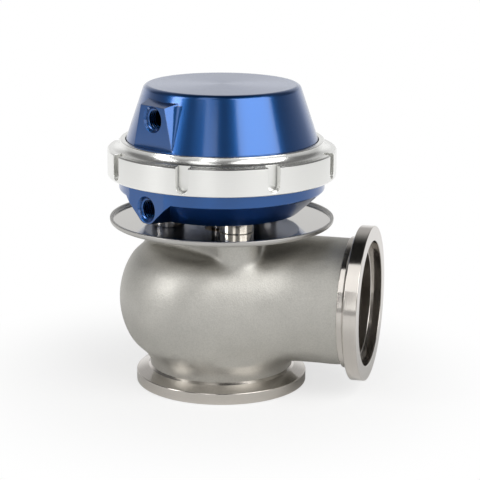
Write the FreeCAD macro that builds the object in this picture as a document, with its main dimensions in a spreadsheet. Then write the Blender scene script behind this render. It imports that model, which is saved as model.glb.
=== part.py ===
import FreeCAD, Part
import Sketcher
import math
import os

# An external exhaust wastegate of the 40 mm class. Lengths are millimetres.
# The origin is the centre of the inlet flange's face. Z runs up the valve, X along the outlet.
SIZES = {
    "seat_bore_radius": 19.0,
    "seat_ring_wall": 5.5,
    "seat_ring_height": 6.5,
    "seat_cone_height": 1.9,
    "seat_land_height": 0.2,
    "seat_lift_gap": 0.1,
    "inlet_neck_wall": 2.1,
    "inlet_throat_inset": 2.7,
    "inlet_cone_width": 5.3,
    "inlet_flange_rim": 4.1,
    "inlet_cone_rise": 1.8,
    "flange_chamfer_width": 0.3,
    "cast_wall": 3.7,
    "bulb_bottom_height": 12.1,
    "bulb_side_bulge": 2.3,
    "bulb_half_height": 20.2,
    "bulb_flat_radius": 24.3,
    "bulb_corner_radius": 11.5,
    "outlet_rise": 1.3,
    "outlet_bore_radius": 20.0,
    "outlet_wall": 3.4,
    "outlet_tube_start": 33.0,
    "outlet_tube_length": 15.6,
    "outlet_ring_length": 1.9,
    "outlet_ring_width": 0.8,
    "outlet_cone_length": 1.4,
    "outlet_cone_width": 5.1,
    "outlet_rim_thickness": 4.8,
    "outlet_register_width": 3.0,
    "outlet_register_depth": 3.5,
    "saddle_height": 7.7,
    "saddle_side_radius": 90.0,
    "boss_circle_radius": 20.7,
    "boss_radius": 8.7,
    "boss_pad_inset": 0.9,
    "boss_pad_height": 0.8,
    "hub_wall": 3.5,
    "hub_depth": 10.5,
    "hub_inset": 1.0,
    "valve_seat_overlap": 1.5,
    "valve_margin": 1.5,
    "valve_under_height": 4.2,
    "valve_neck_height": 21.0,
    "valve_neck_arc": 22.0,
    "stem_radius": 4.0,
    "stem_shoulder_width": 1.0,
    "stem_end_length": 0.7,
    "guide_wall": 3.0,
    "guide_clearance": 0.03,
    "guide_lower_length": 5.0,
    "guide_upper_length": 0.5,
    "shield_radius": 41.4,
    "shield_thickness": 1.0,
    "shield_rim_height": 2.05,
    "shield_bend_radius": 1.4,
    "shield_hole_radius": 8.0,
    "standoff_height": 3.7,
    "standoff_wall": 3.4,
    "screw_radius": 2.5,
    "screw_clearance": 0.3,
    "screw_engaged_length": 9.5,
    "screw_head_radius": 4.25,
    "screw_head_height": 5.0,
    "screw_socket_flats": 4.0,
    "screw_socket_depth": 2.5,
    "screw_seat_thickness": 2.5,
    "screw_counterbore_clearance": 1.05,
    "washer_overlap_width": 0.75,
    "washer_thickness": 0.8,
    "housing_wall": 6.0,
    "housing_band_width": 0.4,
    "housing_cone_width": 9.3,
    "housing_cone_height": 8.4,
    "housing_band_height": 4.3,
    "housing_thread_length": 6.1,
    "housing_floor_thickness": 4.5,
    "housing_corner_width": 4.0,
    "housing_corner_height": 4.8,
    "housing_hub_wall": 1.9,
    "housing_hub_lip_height": 0.3,
    "bush_wall": 2.5,
    "bush_inset": 0.3,
    "bush_length": 6.3,
    "bush_clearance": 0.02,
    "seal_width": 1.5,
    "seal_height": 2.7,
    "clip_groove_depth": 0.6,
    "clip_width": 3.0,
    "clip_thickness": 0.9,
    "port_angle": -121.5,
    "port_bore_radius": 3.3,
    "port_mouth_radius": 4.75,
    "port_mouth_depth": 1.3,
    "housing_port_rise": 5.2,
    "housing_port_face_inset": 1.1,
    "housing_port_boss_radius": 5.4,
    "housing_boss_half_width": 12.5,
    "housing_boss_flare": 12.0,
    "housing_port_depth": 11.0,
    "plug_inset": 1.6,
    "plug_length": 7.5,
    "plug_chamfer_width": 0.5,
    "plug_socket_flats": 3.2,
    "plug_socket_depth": 4.0,
    "diaphragm_thickness": 1.0,
    "diaphragm_rim": 1.5,
    "diaphragm_rim_inset": 0.3,
    "diaphragm_drop": 5.2,
    "diaphragm_roll_width": 6.5,
    "diaphragm_washer_inset": 2.0,
    "diaphragm_washer_thickness": 2.0,
    "piston_spring_room": 5.0,
    "piston_floor": 2.5,
    "piston_wall": 1.6,
    "piston_height": 6.5,
    "piston_hub_radius": 7.0,
    "piston_hub_height": 5.0,
    "stem_washer_radius": 6.0,
    "stem_washer_thickness": 1.0,
    "nut_flats": 10.0,
    "nut_height": 6.0,
    "outer_spring_radius": 20.0,
    "outer_spring_wire": 3.0,
    "outer_spring_turns": 5.0,
    "middle_spring_radius": 14.0,
    "middle_spring_wire": 2.4,
    "middle_spring_turns": 6.0,
    "inner_spring_radius": 9.7,
    "inner_spring_wire": 1.9,
    "inner_spring_turns": 7.0,
    "cap_flange_inset": 0.2,
    "cap_flange_thickness": 3.0,
    "cap_flange_width": 2.35,
    "cap_skirt_height": 3.2,
    "cap_cone_height": 20.0,
    "cap_cone_width": 6.75,
    "cap_edge_round": 2.0,
    "cap_wall": 3.5,
    "cap_roof": 3.6,
    "cap_port_drop": 9.4,
    "cap_port_face_inset": 1.55,
    "cap_port_depth": 9.6,
    "cap_boss_half_width": 6.2,
    "cap_boss_base_half_width": 10.2,
    "cap_boss_drop": 4.2,
    "cap_boss_depth": 6.4,
    "cap_boss_flare": 25.0,
    "collar_wall": 4.45,
    "collar_clearance": 0.05,
    "collar_gap": 0.5,
    "collar_lip_gap": 0.2,
    "collar_lip_round": 1.65,
    "collar_lip_round_height": 1.4,
    "collar_slope_height": 2.05,
    "slot_width": 5.0,
    "slot_depth": 3.0,
    "slot_rise": 1.6,
    "slot_phase": -4.0,
}

BOSS_ANGLES = [60.0, 180.0, 300.0]
SLOT_COUNT = 8
# The second lower port is two thirds of a turn round from the first, clear of the screws.
FAR_PORT_TURN = 240.0

doc = FreeCAD.newDocument("wastegate")
sheet = doc.addObject("Spreadsheet::Sheet", "Sizes")
for row, (alias, number) in enumerate(SIZES.items(), start=1):
    sheet.set(f"A{row}", alias.replace("_", " "))
    sheet.set(f"B{row}", str(number))
    sheet.setAlias(f"B{row}", alias)
doc.recompute()


class Length:
    """A number together with the expression that gives it from the sheet."""

    def __init__(self, value, text):
        self.value = value
        self.text = text

    @staticmethod
    def of(other):
        if isinstance(other, Length):
            return other
        return Length(float(other), f"{float(other):.6f}")

    def __add__(self, other):
        other = Length.of(other)
        return Length(self.value + other.value, f"({self.text} + {other.text})")

    def __sub__(self, other):
        other = Length.of(other)
        return Length(self.value - other.value, f"({self.text} - {other.text})")

    def __mul__(self, other):
        other = Length.of(other)
        return Length(self.value * other.value, f"({self.text} * {other.text})")

    def __truediv__(self, other):
        other = Length.of(other)
        return Length(self.value / other.value, f"({self.text} / {other.text})")

    def __neg__(self):
        return Length(-self.value, f"(0 - {self.text})")

    def root(self):
        return Length(math.sqrt(self.value), f"sqrt({self.text})")

    __radd__ = __add__
    __rmul__ = __mul__

    def __rsub__(self, other):
        return Length.of(other) - self


def size(alias):
    """One driving size from the sheet, or one that follows from others."""
    if alias in FOLLOWING:
        return FOLLOWING[alias]
    return Length(SIZES[alias], f"Sizes.{alias}")


def follow(alias, start, *steps):
    """Name a size that is another one with steps added, or taken off where a minus sign leads."""
    total = size(start)
    for step in steps:
        total = total - size(step[1:]) if step[0] == "-" else total + size(step)
    FOLLOWING[alias] = total


FOLLOWING = {}

# The gas side, from the seat's bore outwards and from the inlet face upwards.
follow("seat_ring_radius", "seat_bore_radius", "seat_ring_wall")
follow("inlet_neck_radius", "seat_ring_radius", "inlet_neck_wall")
follow("inlet_neck_bore_radius", "seat_ring_radius", "-inlet_throat_inset")
follow("inlet_flange_radius", "inlet_neck_radius", "inlet_cone_width")
follow("inlet_cone_top", "inlet_flange_rim", "inlet_cone_rise")
follow("seat_cone_top", "seat_ring_height", "-seat_land_height")
follow("seat_cone_bottom", "seat_cone_top", "-seat_cone_height")
follow("valve_head_radius", "seat_bore_radius", "valve_seat_overlap")
follow("bulb_radius", "bulb_flat_radius", "bulb_corner_radius", "bulb_side_bulge")
follow("bulb_centre_height", "bulb_bottom_height", "bulb_half_height")
follow("bulb_roof", "bulb_centre_height", "bulb_half_height")
follow("outlet_height", "bulb_centre_height", "outlet_rise")
follow("outlet_tube_radius", "outlet_bore_radius", "outlet_wall")
follow("outlet_ring_radius", "outlet_tube_radius", "outlet_ring_width")
follow("outlet_flange_radius", "outlet_tube_radius", "outlet_cone_width")
follow("outlet_register_radius", "outlet_bore_radius", "outlet_register_width")
follow("outlet_ring_start", "outlet_tube_start", "outlet_tube_length")
follow("outlet_cone_start", "outlet_ring_start", "outlet_ring_length")
follow("outlet_rim_start", "outlet_cone_start", "outlet_cone_length")
follow("outlet_face", "outlet_rim_start", "outlet_rim_thickness")
follow("saddle_top", "bulb_roof", "saddle_height")
follow("boss_top", "saddle_top", "boss_pad_height")
follow("boss_pad_radius", "boss_radius", "-boss_pad_inset")
follow("guide_radius", "stem_radius", "guide_wall")
follow("hub_radius", "guide_radius", "hub_wall")
follow("hub_bottom", "bulb_roof", "-hub_depth")
follow("hub_top", "boss_top", "-hub_inset")
follow("guide_bottom", "hub_bottom", "-guide_lower_length")
follow("guide_top", "hub_top", "guide_upper_length")

# The shield and what stands on it, up to the housing's top.
follow("shield_top", "boss_top", "shield_thickness")
follow("shield_rim_top", "boss_top", "shield_rim_height")
follow("standoff_bore_radius", "screw_radius", "screw_clearance")
follow("standoff_radius", "standoff_bore_radius", "standoff_wall")
follow("screw_bottom", "boss_top", "-screw_engaged_length")
follow("screw_counterbore_radius", "screw_head_radius", "screw_counterbore_clearance")
follow("washer_radius", "screw_head_radius", "washer_overlap_width")
follow("housing_underside", "shield_top", "standoff_height")
follow("screw_counterbore_floor", "housing_underside", "screw_seat_thickness")
follow("housing_floor", "housing_underside", "housing_floor_thickness")
follow("housing_bore_start", "housing_floor", "housing_corner_height")
follow("housing_band_bottom", "housing_underside", "housing_cone_height")
follow("housing_band_top", "housing_band_bottom", "housing_band_height")
follow("housing_top", "housing_band_top", "housing_thread_length")
follow("housing_port_height", "housing_underside", "housing_port_rise")

# The stem's bush, seal and clip, and the stem's thread.
follow("bush_radius", "stem_radius", "bush_wall")
follow("seal_radius", "bush_radius", "seal_width")
follow("clip_radius", "seal_radius", "clip_groove_depth")
follow("clip_bore_radius", "clip_radius", "-clip_width")
follow("housing_hub_radius", "clip_radius", "housing_hub_wall")
follow("bush_bottom", "housing_underside", "bush_inset")
follow("bush_top", "bush_bottom", "bush_length")
follow("seal_top", "bush_top", "seal_height")
follow("housing_hub_top", "seal_top", "clip_thickness", "housing_hub_lip_height")
follow("stem_thread_radius", "stem_radius", "-stem_shoulder_width")

# The actuator, from the outer spring outwards.
follow("piston_radius", "outer_spring_radius", "piston_spring_room")
follow("diaphragm_washer_radius", "piston_radius", "-diaphragm_washer_inset")
follow("housing_bore_radius", "piston_radius", "diaphragm_roll_width")
follow("housing_thread_radius", "housing_bore_radius", "housing_wall")
follow("housing_floor_radius", "housing_bore_radius", "-housing_corner_width")
follow("housing_band_radius", "housing_thread_radius", "housing_band_width")
follow("housing_underside_radius", "housing_band_radius", "-housing_cone_width")
follow("housing_port_face", "housing_band_radius", "-housing_port_face_inset")
follow("housing_port_end", "housing_port_face", "-housing_port_depth")
follow("diaphragm_radius", "housing_thread_radius", "-diaphragm_rim_inset")
follow("cap_flange_radius", "housing_thread_radius", "-cap_flange_inset")
follow("cap_base_radius", "housing_thread_radius", "-cap_flange_width")
follow("cap_top_radius", "cap_base_radius", "-cap_cone_width")
follow("cap_port_face", "cap_base_radius", "-cap_port_face_inset")
follow("cap_port_end", "cap_port_face", "-cap_port_depth")
follow("collar_bore_radius", "housing_thread_radius", "collar_clearance")
follow("collar_radius", "collar_bore_radius", "collar_wall")
follow("collar_lip_radius", "cap_base_radius", "collar_lip_gap")
follow("collar_slope_radius", "collar_lip_radius", "collar_lip_round")
follow("slot_floor_radius", "collar_radius", "-slot_depth")

# The actuator, from the housing's top upwards.
follow("diaphragm_centre", "housing_top", "-diaphragm_drop")
follow("stem_shoulder", "diaphragm_centre", "-diaphragm_washer_thickness")
follow("piston_bottom", "diaphragm_centre", "diaphragm_thickness")
follow("spring_bottom", "piston_bottom", "piston_floor")
follow("piston_hub_top", "piston_bottom", "piston_hub_height")
follow("nut_bottom", "piston_hub_top", "stem_washer_thickness")
follow("stem_top", "nut_bottom", "nut_height", "stem_end_length")
follow("cap_bottom", "housing_top", "diaphragm_rim")
follow("cap_flange_top", "cap_bottom", "cap_flange_thickness")
follow("cap_base_height", "cap_flange_top", "cap_skirt_height")
follow("cap_top", "cap_base_height", "cap_cone_height")
follow("spring_top", "cap_top", "-cap_roof")
follow("cap_port_height", "cap_top", "-cap_port_drop")
follow("cap_boss_top", "cap_top", "-cap_boss_drop")
follow("collar_bottom", "housing_band_top", "collar_gap")
follow("collar_slope_top", "cap_base_height", "-collar_lip_round_height")
follow("collar_edge", "collar_slope_top", "-collar_slope_height")
follow("slot_bottom", "collar_bottom", "slot_rise")


UPRIGHT = FreeCAD.Rotation(FreeCAD.Vector(1, 0, 0), 90)
FLAT = FreeCAD.Rotation()
ACROSS = FreeCAD.Rotation(FreeCAD.Vector(1, 1, 1), 120)
ZERO = Length(0.0, "0")


def turned_to(angle, rotation):
    """The same plane turned about the valve's axis."""
    return FreeCAD.Rotation(FreeCAD.Vector(0, 0, 1), angle) * rotation


def new_body(label):
    """An empty body named after its file."""
    body = doc.addObject("PartDesign::Body", label)
    body.Label = label
    return body


def new_sketch(body, rotation, base=(ZERO, ZERO, ZERO)):
    """A sketch on a plane, with its place bound to the sheet."""
    sketch = body.newObject("Sketcher::SketchObject", f"{body.Name}_sketch")
    values = [Length.of(part) for part in base]
    sketch.Placement = FreeCAD.Placement(FreeCAD.Vector(*[part.value for part in values]), rotation)
    for axis, part in zip("xyz", values):
        if "Sizes" in part.text:
            sketch.setExpression(f"Placement.Base.{axis}", part.text)
    return sketch


def bind_point(sketch, edge, end, x, y):
    """Hold one end of an edge at a place given by sizes."""
    for kind, axis_line, part in (("DistanceX", -2, x), ("DistanceY", -1, y)):
        if "Sizes" not in part.text and abs(part.value) < 1e-9:
            sketch.addConstraint(Sketcher.Constraint("PointOnObject", edge, end, axis_line))
            continue
        index = sketch.addConstraint(Sketcher.Constraint(kind, -1, 1, edge, end, part.value))
        if "Sizes" in part.text:
            sketch.setExpression(f"Constraints[{index}]", part.text)


def arc_between(start, end, radius, left):
    """The arc's circle centre between two points, on the left or right of the way from start to end."""
    middle = (start + end) / 2
    chord = end - start
    side = FreeCAD.Vector(-chord.y, chord.x, 0)
    side.normalize()
    rise = math.sqrt(max(radius ** 2 - (chord.Length / 2) ** 2, 0.0))
    return middle + side * (rise if left else -rise)


def draw_outline(sketch, corners):
    """Draw a closed outline. A corner with an arc (radius, centre on the left) is reached by that arc."""
    places = []
    for corner in corners:
        places.append((Length.of(corner[0]), Length.of(corner[1])))
    points = [FreeCAD.Vector(x.value, y.value, 0) for x, y in places]
    ends = []
    for index in range(len(corners)):
        following = (index + 1) % len(corners)
        arc = corners[following][2] if len(corners[following]) > 2 else None
        if arc is None:
            edge = sketch.addGeometry(Part.LineSegment(points[index], points[following]), False)
            ends.append((edge, 1, 2))
            continue
        radius, left = Length.of(arc[0]), arc[1]
        centre = arc_between(points[index], points[following], radius.value, left)
        first = math.atan2(points[index].y - centre.y, points[index].x - centre.x)
        last = math.atan2(points[following].y - centre.y, points[following].x - centre.x)
        if not left:
            first, last = last, first
        if last < first:
            last += 2 * math.pi
        circle = Part.Circle(centre, FreeCAD.Vector(0, 0, 1), radius.value)
        edge = sketch.addGeometry(Part.ArcOfCircle(circle, first, last), False)
        ends.append((edge, 1, 2) if left else (edge, 2, 1))
        bound = sketch.addConstraint(Sketcher.Constraint("Radius", edge, radius.value))
        if "Sizes" in radius.text:
            sketch.setExpression(f"Constraints[{bound}]", radius.text)
    for index, (edge, start, end) in enumerate(ends):
        next_edge, next_start, _ = ends[(index + 1) % len(ends)]
        sketch.addConstraint(Sketcher.Constraint("Coincident", edge, end, next_edge, next_start))
    for (edge, start, _), (x, y) in zip(ends, places):
        bind_point(sketch, edge, start, x, y)


def draw_circle(sketch, x, y, radius):
    """A full circle with its centre and radius bound to the sheet."""
    x, y, radius = Length.of(x), Length.of(y), Length.of(radius)
    circle = Part.Circle(FreeCAD.Vector(x.value, y.value, 0), FreeCAD.Vector(0, 0, 1), radius.value)
    edge = sketch.addGeometry(circle, False)
    bound = sketch.addConstraint(Sketcher.Constraint("Radius", edge, radius.value))
    sketch.setExpression(f"Constraints[{bound}]", radius.text)
    if "Sizes" not in x.text and "Sizes" not in y.text and abs(x.value) + abs(y.value) < 1e-9:
        sketch.addConstraint(Sketcher.Constraint("Coincident", edge, 3, -1, 1))
        return
    bind_point(sketch, edge, 3, x, y)


def turn(body, corners, cut=False, rotation=UPRIGHT, base=(ZERO, ZERO, ZERO), axis="V_Axis", angle=360.0):
    """Revolve an outline about one of its sketch's axes, as material or as a cut."""
    sketch = new_sketch(body, rotation, base)
    draw_outline(sketch, corners)
    kind = "PartDesign::Groove" if cut else "PartDesign::Revolution"
    feature = body.newObject(kind, f"{body.Name}_{'groove' if cut else 'turned'}")
    feature.Profile = sketch
    feature.ReferenceAxis = (sketch, [axis])
    feature.Angle = angle
    return feature


def push(body, sketch, length, cut=False, reverse=False):
    """Pad or pocket a finished sketch by a length from the sheet."""
    kind = "PartDesign::Pocket" if cut else "PartDesign::Pad"
    feature = body.newObject(kind, f"{body.Name}_{'pocket' if cut else 'pad'}")
    feature.Profile = sketch
    length = Length.of(length)
    feature.Length = length.value
    if "Sizes" in length.text:
        feature.setExpression("Length", length.text)
    feature.Reversed = reverse
    return feature


def around(body, feature, count):
    """Repeat a feature evenly about the valve's axis."""
    pattern = body.newObject("PartDesign::PolarPattern", f"{body.Name}_pattern")
    pattern.Originals = [feature]
    upright = [part for part in body.Origin.OriginFeatures if part.Role == "Z_Axis"][0]
    pattern.Axis = (upright, [""])
    pattern.Angle = 360.0
    pattern.Occurrences = count
    body.Tip = pattern
    return pattern


def hexagon(flats):
    """The corners of a hexagon of a given width across flats."""
    corners = []
    for step in range(6):
        turn_to = math.radians(60 * step + 30)
        reach = flats / math.sqrt(3)
        corners.append((reach * math.cos(turn_to), reach * math.sin(turn_to)))
    return corners


def port_cut(body, angle, height, face, end):
    """A drilled port with a countersunk mouth, square to a flat face."""
    bore, mouth = size("port_bore_radius"), size("port_mouth_radius")
    return turn(body, [
        (end, 0),
        (end, bore),
        (face - size("port_mouth_depth"), bore),
        (face, mouth),
        (face + bore, mouth),
        (face + bore, 0),
    ], True, turned_to(angle, UPRIGHT), (ZERO, ZERO, height), "H_Axis")


class Oval:
    """The bulb's section: two flats, four corner arcs and two side arcs, shrunk inwards by a wall."""

    def __init__(self, inward):
        self.flat = size("bulb_flat_radius")
        self.corner = size("bulb_corner_radius") - inward
        self.half_height = size("bulb_half_height") - inward
        self.reach = size("bulb_radius") - inward
        middle = size("bulb_centre_height")
        drop = self.half_height - self.corner
        spare = self.reach - self.corner
        side_centre = (spare * spare - self.flat * self.flat - drop * drop) / ((spare - self.flat) * 2)
        self.side = self.reach - side_centre
        between = self.side - self.corner
        self.join_out = self.flat + self.corner * (self.flat - side_centre) / between
        self.join_up = drop + self.corner * drop / between
        self.middle = middle

    def half(self):
        """The half on one side of the valve's axis, as an outline to revolve."""
        top, bottom = self.middle + self.half_height, self.middle - self.half_height
        return [
            (0, bottom),
            (self.flat, bottom),
            (self.join_out, self.middle - self.join_up, (self.corner, True)),
            (self.join_out, self.middle + self.join_up, (self.side, True)),
            (self.flat, top, (self.corner, True)),
            (0, top),
        ]

    def whole(self):
        """The whole section, for the way from the bulb to the outlet."""
        top, bottom = self.middle + self.half_height, self.middle - self.half_height
        low, high = self.middle - self.join_up, self.middle + self.join_up
        return [
            (-self.flat, bottom, (self.corner, True)),
            (self.flat, bottom),
            (self.join_out, low, (self.corner, True)),
            (self.join_out, high, (self.side, True)),
            (self.flat, top, (self.corner, True)),
            (-self.flat, top),
            (-self.join_out, high, (self.corner, True)),
            (-self.join_out, low, (self.side, True)),
        ]


def round_section(centre, radius):
    """A circle in eight arcs that answer the oval's eight edges."""
    angles = [-128.0, -52.0, -28.0, 28.0, 52.0, 128.0, 152.0, 208.0]
    corners = []
    for angle in angles:
        across = radius * math.cos(math.radians(angle))
        up = centre + radius * math.sin(math.radians(angle))
        corners.append((across, up, (radius, True)))
    return corners


def outlet_way(body, inward, cut):
    """The way from the bulb's section to the round outlet tube."""
    oval = Oval(inward)
    near = new_sketch(body, ACROSS)
    draw_outline(near, oval.whole())
    far = new_sketch(body, ACROSS, (size("outlet_tube_start"), ZERO, ZERO))
    tube = size("outlet_bore_radius") if cut else size("outlet_tube_radius")
    draw_outline(far, round_section(size("outlet_height"), tube))
    kind = "PartDesign::SubtractiveLoft" if cut else "PartDesign::AdditiveLoft"
    loft = body.newObject(kind, f"{body.Name}_way")
    loft.Profile = near
    loft.Sections = [far]
    loft.Ruled = False
    return loft


def saddle_outline():
    """Three corner arcs on the boss circle, joined by sides that curve in a little."""
    corner, reach = size("boss_radius"), size("boss_circle_radius")
    side = size("saddle_side_radius")
    half_gap = reach * math.sin(math.radians(60))
    slant = side + corner
    drop = (slant * slant - half_gap * half_gap).root()
    # How far a touching point lies from a corner's centre, along and out from the side.
    along, out = corner * half_gap / slant, corner * drop / slant
    corners = []
    for angle in (60.0, 180.0, 300.0):
        before, after = math.radians(angle - 60), math.radians(angle + 60)
        centre_x = reach * math.cos(math.radians(angle))
        centre_y = reach * math.sin(math.radians(angle))
        # The side before the corner faces one way, the side after it the other.
        for facing, way, arc in ((before, -1.0, (side, False)), (after, 1.0, (corner, True))):
            out_x, out_y = math.cos(facing), math.sin(facing)
            x = centre_x + out * out_x + along * (-out_y * way)
            y = centre_y + out * out_y + along * (out_x * way)
            corners.append((x, y, arc))
    return corners


def make_valve_body():
    """The cast body: bulb, outlet, inlet flange, three bosses and the guide's hub, hollow inside."""
    body = new_body("valve_body")
    rim = size("flange_chamfer_width")
    wall = size("cast_wall")
    turn(body, Oval(ZERO).half(), False, ACROSS, angle=180.0)
    outlet_way(body, ZERO, False)
    # The outlet tube with its flange, turned about the outlet's axis.
    face, tube = size("outlet_face"), size("outlet_tube_radius")
    flange = size("outlet_flange_radius")
    outlet = [
        (size("outlet_tube_start"), 0),
        (size("outlet_tube_start"), tube),
        (size("outlet_ring_start"), tube),
        (size("outlet_ring_start"), size("outlet_ring_radius")),
        (size("outlet_cone_start"), size("outlet_ring_radius")),
        (size("outlet_rim_start") - rim * 0.3, flange - rim),
        (size("outlet_rim_start") + rim, flange),
        (face - rim, flange),
        (face, flange - rim),
        (face, 0),
    ]
    turn(body, outlet, False, UPRIGHT, (ZERO, ZERO, size("outlet_height")), "H_Axis")
    # The inlet neck with its flange.
    flange, neck = size("inlet_flange_radius"), size("inlet_neck_radius")
    neck_top = size("bulb_bottom_height") + 2
    inlet = [
        (0, 0),
        (flange - rim, 0),
        (flange, rim),
        (flange, size("inlet_flange_rim") - rim),
        (flange - rim, size("inlet_flange_rim")),
        (neck + 0.8, size("inlet_cone_top")),
        (neck, size("inlet_cone_top") + 0.8),
        (neck, neck_top),
        (0, neck_top),
    ]
    turn(body, inlet)
    # The saddle under the heat shield, a triangle with round corners, and a pad on each corner.
    roof, saddle_top = size("bulb_roof"), size("saddle_top")
    sketch = new_sketch(body, FLAT, (ZERO, ZERO, roof - wall + 0.5))
    draw_outline(sketch, saddle_outline())
    push(body, sketch, saddle_top - roof + wall - 0.5)
    sketch = new_sketch(body, FLAT, (ZERO, ZERO, saddle_top - 1))
    draw_circle(sketch, -size("boss_circle_radius"), 0, size("boss_pad_radius"))
    pad = push(body, sketch, size("boss_pad_height") + 1)
    around(body, pad, len(BOSS_ANGLES))
    # The hollow: chamber, way out, outlet bore and inlet bore.
    turn(body, Oval(wall).half(), True, ACROSS, angle=180.0)
    outlet_way(body, wall, True)
    bore, register = size("outlet_bore_radius"), size("outlet_register_radius")
    seat_line = face - size("outlet_register_depth")
    hollow = [
        (size("outlet_tube_start"), 0),
        (size("outlet_tube_start"), bore),
        (seat_line, bore),
        (seat_line, register),
        (face + 1, register),
        (face + 1, 0),
    ]
    turn(body, hollow, True, UPRIGHT, (ZERO, ZERO, size("outlet_height")), "H_Axis")
    mouth, throat = size("seat_ring_radius"), size("inlet_neck_bore_radius")
    chamber_floor = size("bulb_bottom_height") + wall
    inside = [
        (0, -1),
        (mouth, -1),
        (mouth, size("seat_ring_height")),
        (throat, size("seat_ring_height")),
        (throat, chamber_floor + 1),
        (0, chamber_floor + 1),
    ]
    turn(body, inside, True)
    # The hub round the valve guide, from the chamber up to the shield.
    hub = size("hub_radius")
    top, low = size("hub_top"), size("hub_bottom")
    turn(body, [(0, low), (hub - 2, low), (hub, low + 2), (hub, top), (0, top)])
    guide = size("guide_radius")
    turn(body, [(0, low - 1), (guide, low - 1), (guide, top + 1), (0, top + 1)], True)
    # The screw holes in the bosses.
    sketch = new_sketch(body, FLAT, (ZERO, ZERO, size("boss_top")))
    draw_circle(sketch, -size("boss_circle_radius"), 0, size("screw_radius"))
    hole = push(body, sketch, size("boss_top") - size("screw_bottom") + 0.5, True)
    around(body, hole, len(BOSS_ANGLES))
    return body


def make_seat_ring():
    """The ring with the conical seat."""
    body = new_body("valve_seat_ring")
    bore, top = size("seat_bore_radius"), size("seat_ring_height")
    cone_low, cone_high = size("seat_cone_bottom"), size("seat_cone_top")
    turn(body, [
        (bore + 0.5, 0),
        (size("seat_ring_radius") - 0.4, 0),
        (size("seat_ring_radius"), 0.4),
        (size("seat_ring_radius"), top),
        (bore + cone_high - cone_low, top),
        (bore + cone_high - cone_low, cone_high),
        (bore, cone_low),
        (bore, 0.5),
    ])
    return body


def make_valve():
    """The poppet: head with a conical face, necked up into the stem, with a threaded end."""
    body = new_body("valve")
    head, stem = size("valve_head_radius"), size("stem_radius")
    face_top = size("seat_cone_bottom") + head - size("seat_bore_radius") + size("seat_lift_gap")
    under = size("valve_under_height")
    face_low = face_top - 1.2
    back = face_top + size("valve_margin")
    thread = size("stem_thread_radius")
    turn(body, [
        (0, under + 1.2),
        (head - 8.5, under + 1.2),
        (head - 4, under),
        (head - 2.2, under),
        (head - 1.2, face_low),
        (head, face_top),
        (head, back),
        (head - 1.5, back + 0.5),
        (stem, size("valve_neck_height"), (size("valve_neck_arc"), False)),
        (stem, size("stem_shoulder") - 0.3),
        (stem - 0.3, size("stem_shoulder")),
        (thread, size("stem_shoulder")),
        (thread, size("stem_top") - 0.7),
        (thread - 0.7, size("stem_top")),
        (0, size("stem_top")),
    ])
    return body


def make_sleeve(label, inner, outer, low, high, edge=0.4):
    """A plain sleeve with broken outer edges."""
    body = new_body(label)
    turn(body, [
        (inner, low),
        (outer - edge, low),
        (outer, low + edge),
        (outer, high - edge),
        (outer - edge, high),
        (inner, high),
    ])
    return body


def make_valve_guide():
    """The sleeve that guides the stem in the body."""
    inner = size("stem_radius") + size("guide_clearance")
    return make_sleeve("valve_guide", inner, size("guide_radius"), size("guide_bottom"), size("guide_top"))


def boss_holes(body, radius, low, depth):
    """Three holes on the boss circle, cut upwards from a height."""
    sketch = new_sketch(body, FLAT, (ZERO, ZERO, low))
    draw_circle(sketch, -size("boss_circle_radius"), 0, radius)
    hole = push(body, sketch, depth, True, True)
    around(body, hole, len(BOSS_ANGLES))


def make_heat_shield():
    """The sheet disc with its rim turned up."""
    body = new_body("heat_shield")
    low, thick = size("boss_top"), size("shield_thickness")
    outer, bend = size("shield_radius"), size("shield_bend_radius")
    turn(body, [
        (size("shield_hole_radius"), low),
        (outer - bend, low),
        (outer, low + bend, (bend, True)),
        (outer, size("shield_rim_top")),
        (outer - thick, size("shield_rim_top")),
        (outer - thick, low + bend),
        (outer - bend, low + thick, (bend - thick, False)),
        (size("shield_hole_radius"), low + thick),
    ])
    boss_holes(body, size("screw_radius") + size("screw_clearance"), low - 1, thick + 2)
    return body


def on_boss_circle(angle):
    """Where a boss stands, as two lengths."""
    reach = size("boss_circle_radius")
    across = math.cos(math.radians(angle))
    along = math.sin(math.radians(angle))
    if abs(along) < 1e-9:
        return reach * across, ZERO
    return reach * across, reach * along


def ring_solids(label, inner, outer, low, high):
    """Three rings on the boss circle, one node."""
    rings = []
    for number, angle in enumerate(BOSS_ANGLES, start=1):
        x, y = on_boss_circle(angle)
        for part, radius in (("outer", outer), ("inner", inner)):
            cylinder = doc.addObject("Part::Cylinder", f"{label}_{part}_{number}")
            cylinder.setExpression("Radius", radius.text)
            cylinder.setExpression("Height", (high - low).text)
            cylinder.setExpression("Placement.Base.x", x.text)
            cylinder.setExpression("Placement.Base.y", y.text)
            cylinder.setExpression("Placement.Base.z", low.text)
        ring = doc.addObject("Part::Cut", f"{label}_{number}")
        ring.Base = doc.getObject(f"{label}_outer_{number}")
        ring.Tool = doc.getObject(f"{label}_inner_{number}")
        rings.append(ring)
    group = doc.addObject("Part::Compound", label)
    group.Label = label
    group.Links = rings
    return group


def make_standoffs():
    """The three spacer sleeves between the shield and the housing."""
    inner, outer = size("standoff_bore_radius"), size("standoff_radius")
    return ring_solids("standoffs", inner, outer, size("shield_top"), size("housing_underside"))


def make_screw_washers():
    """The washers under the screw heads."""
    low = size("screw_counterbore_floor")
    inner = size("screw_radius") + size("screw_clearance") * 0.5
    return ring_solids("screw_washers", inner, size("washer_radius"), low, low + size("washer_thickness"))


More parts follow.
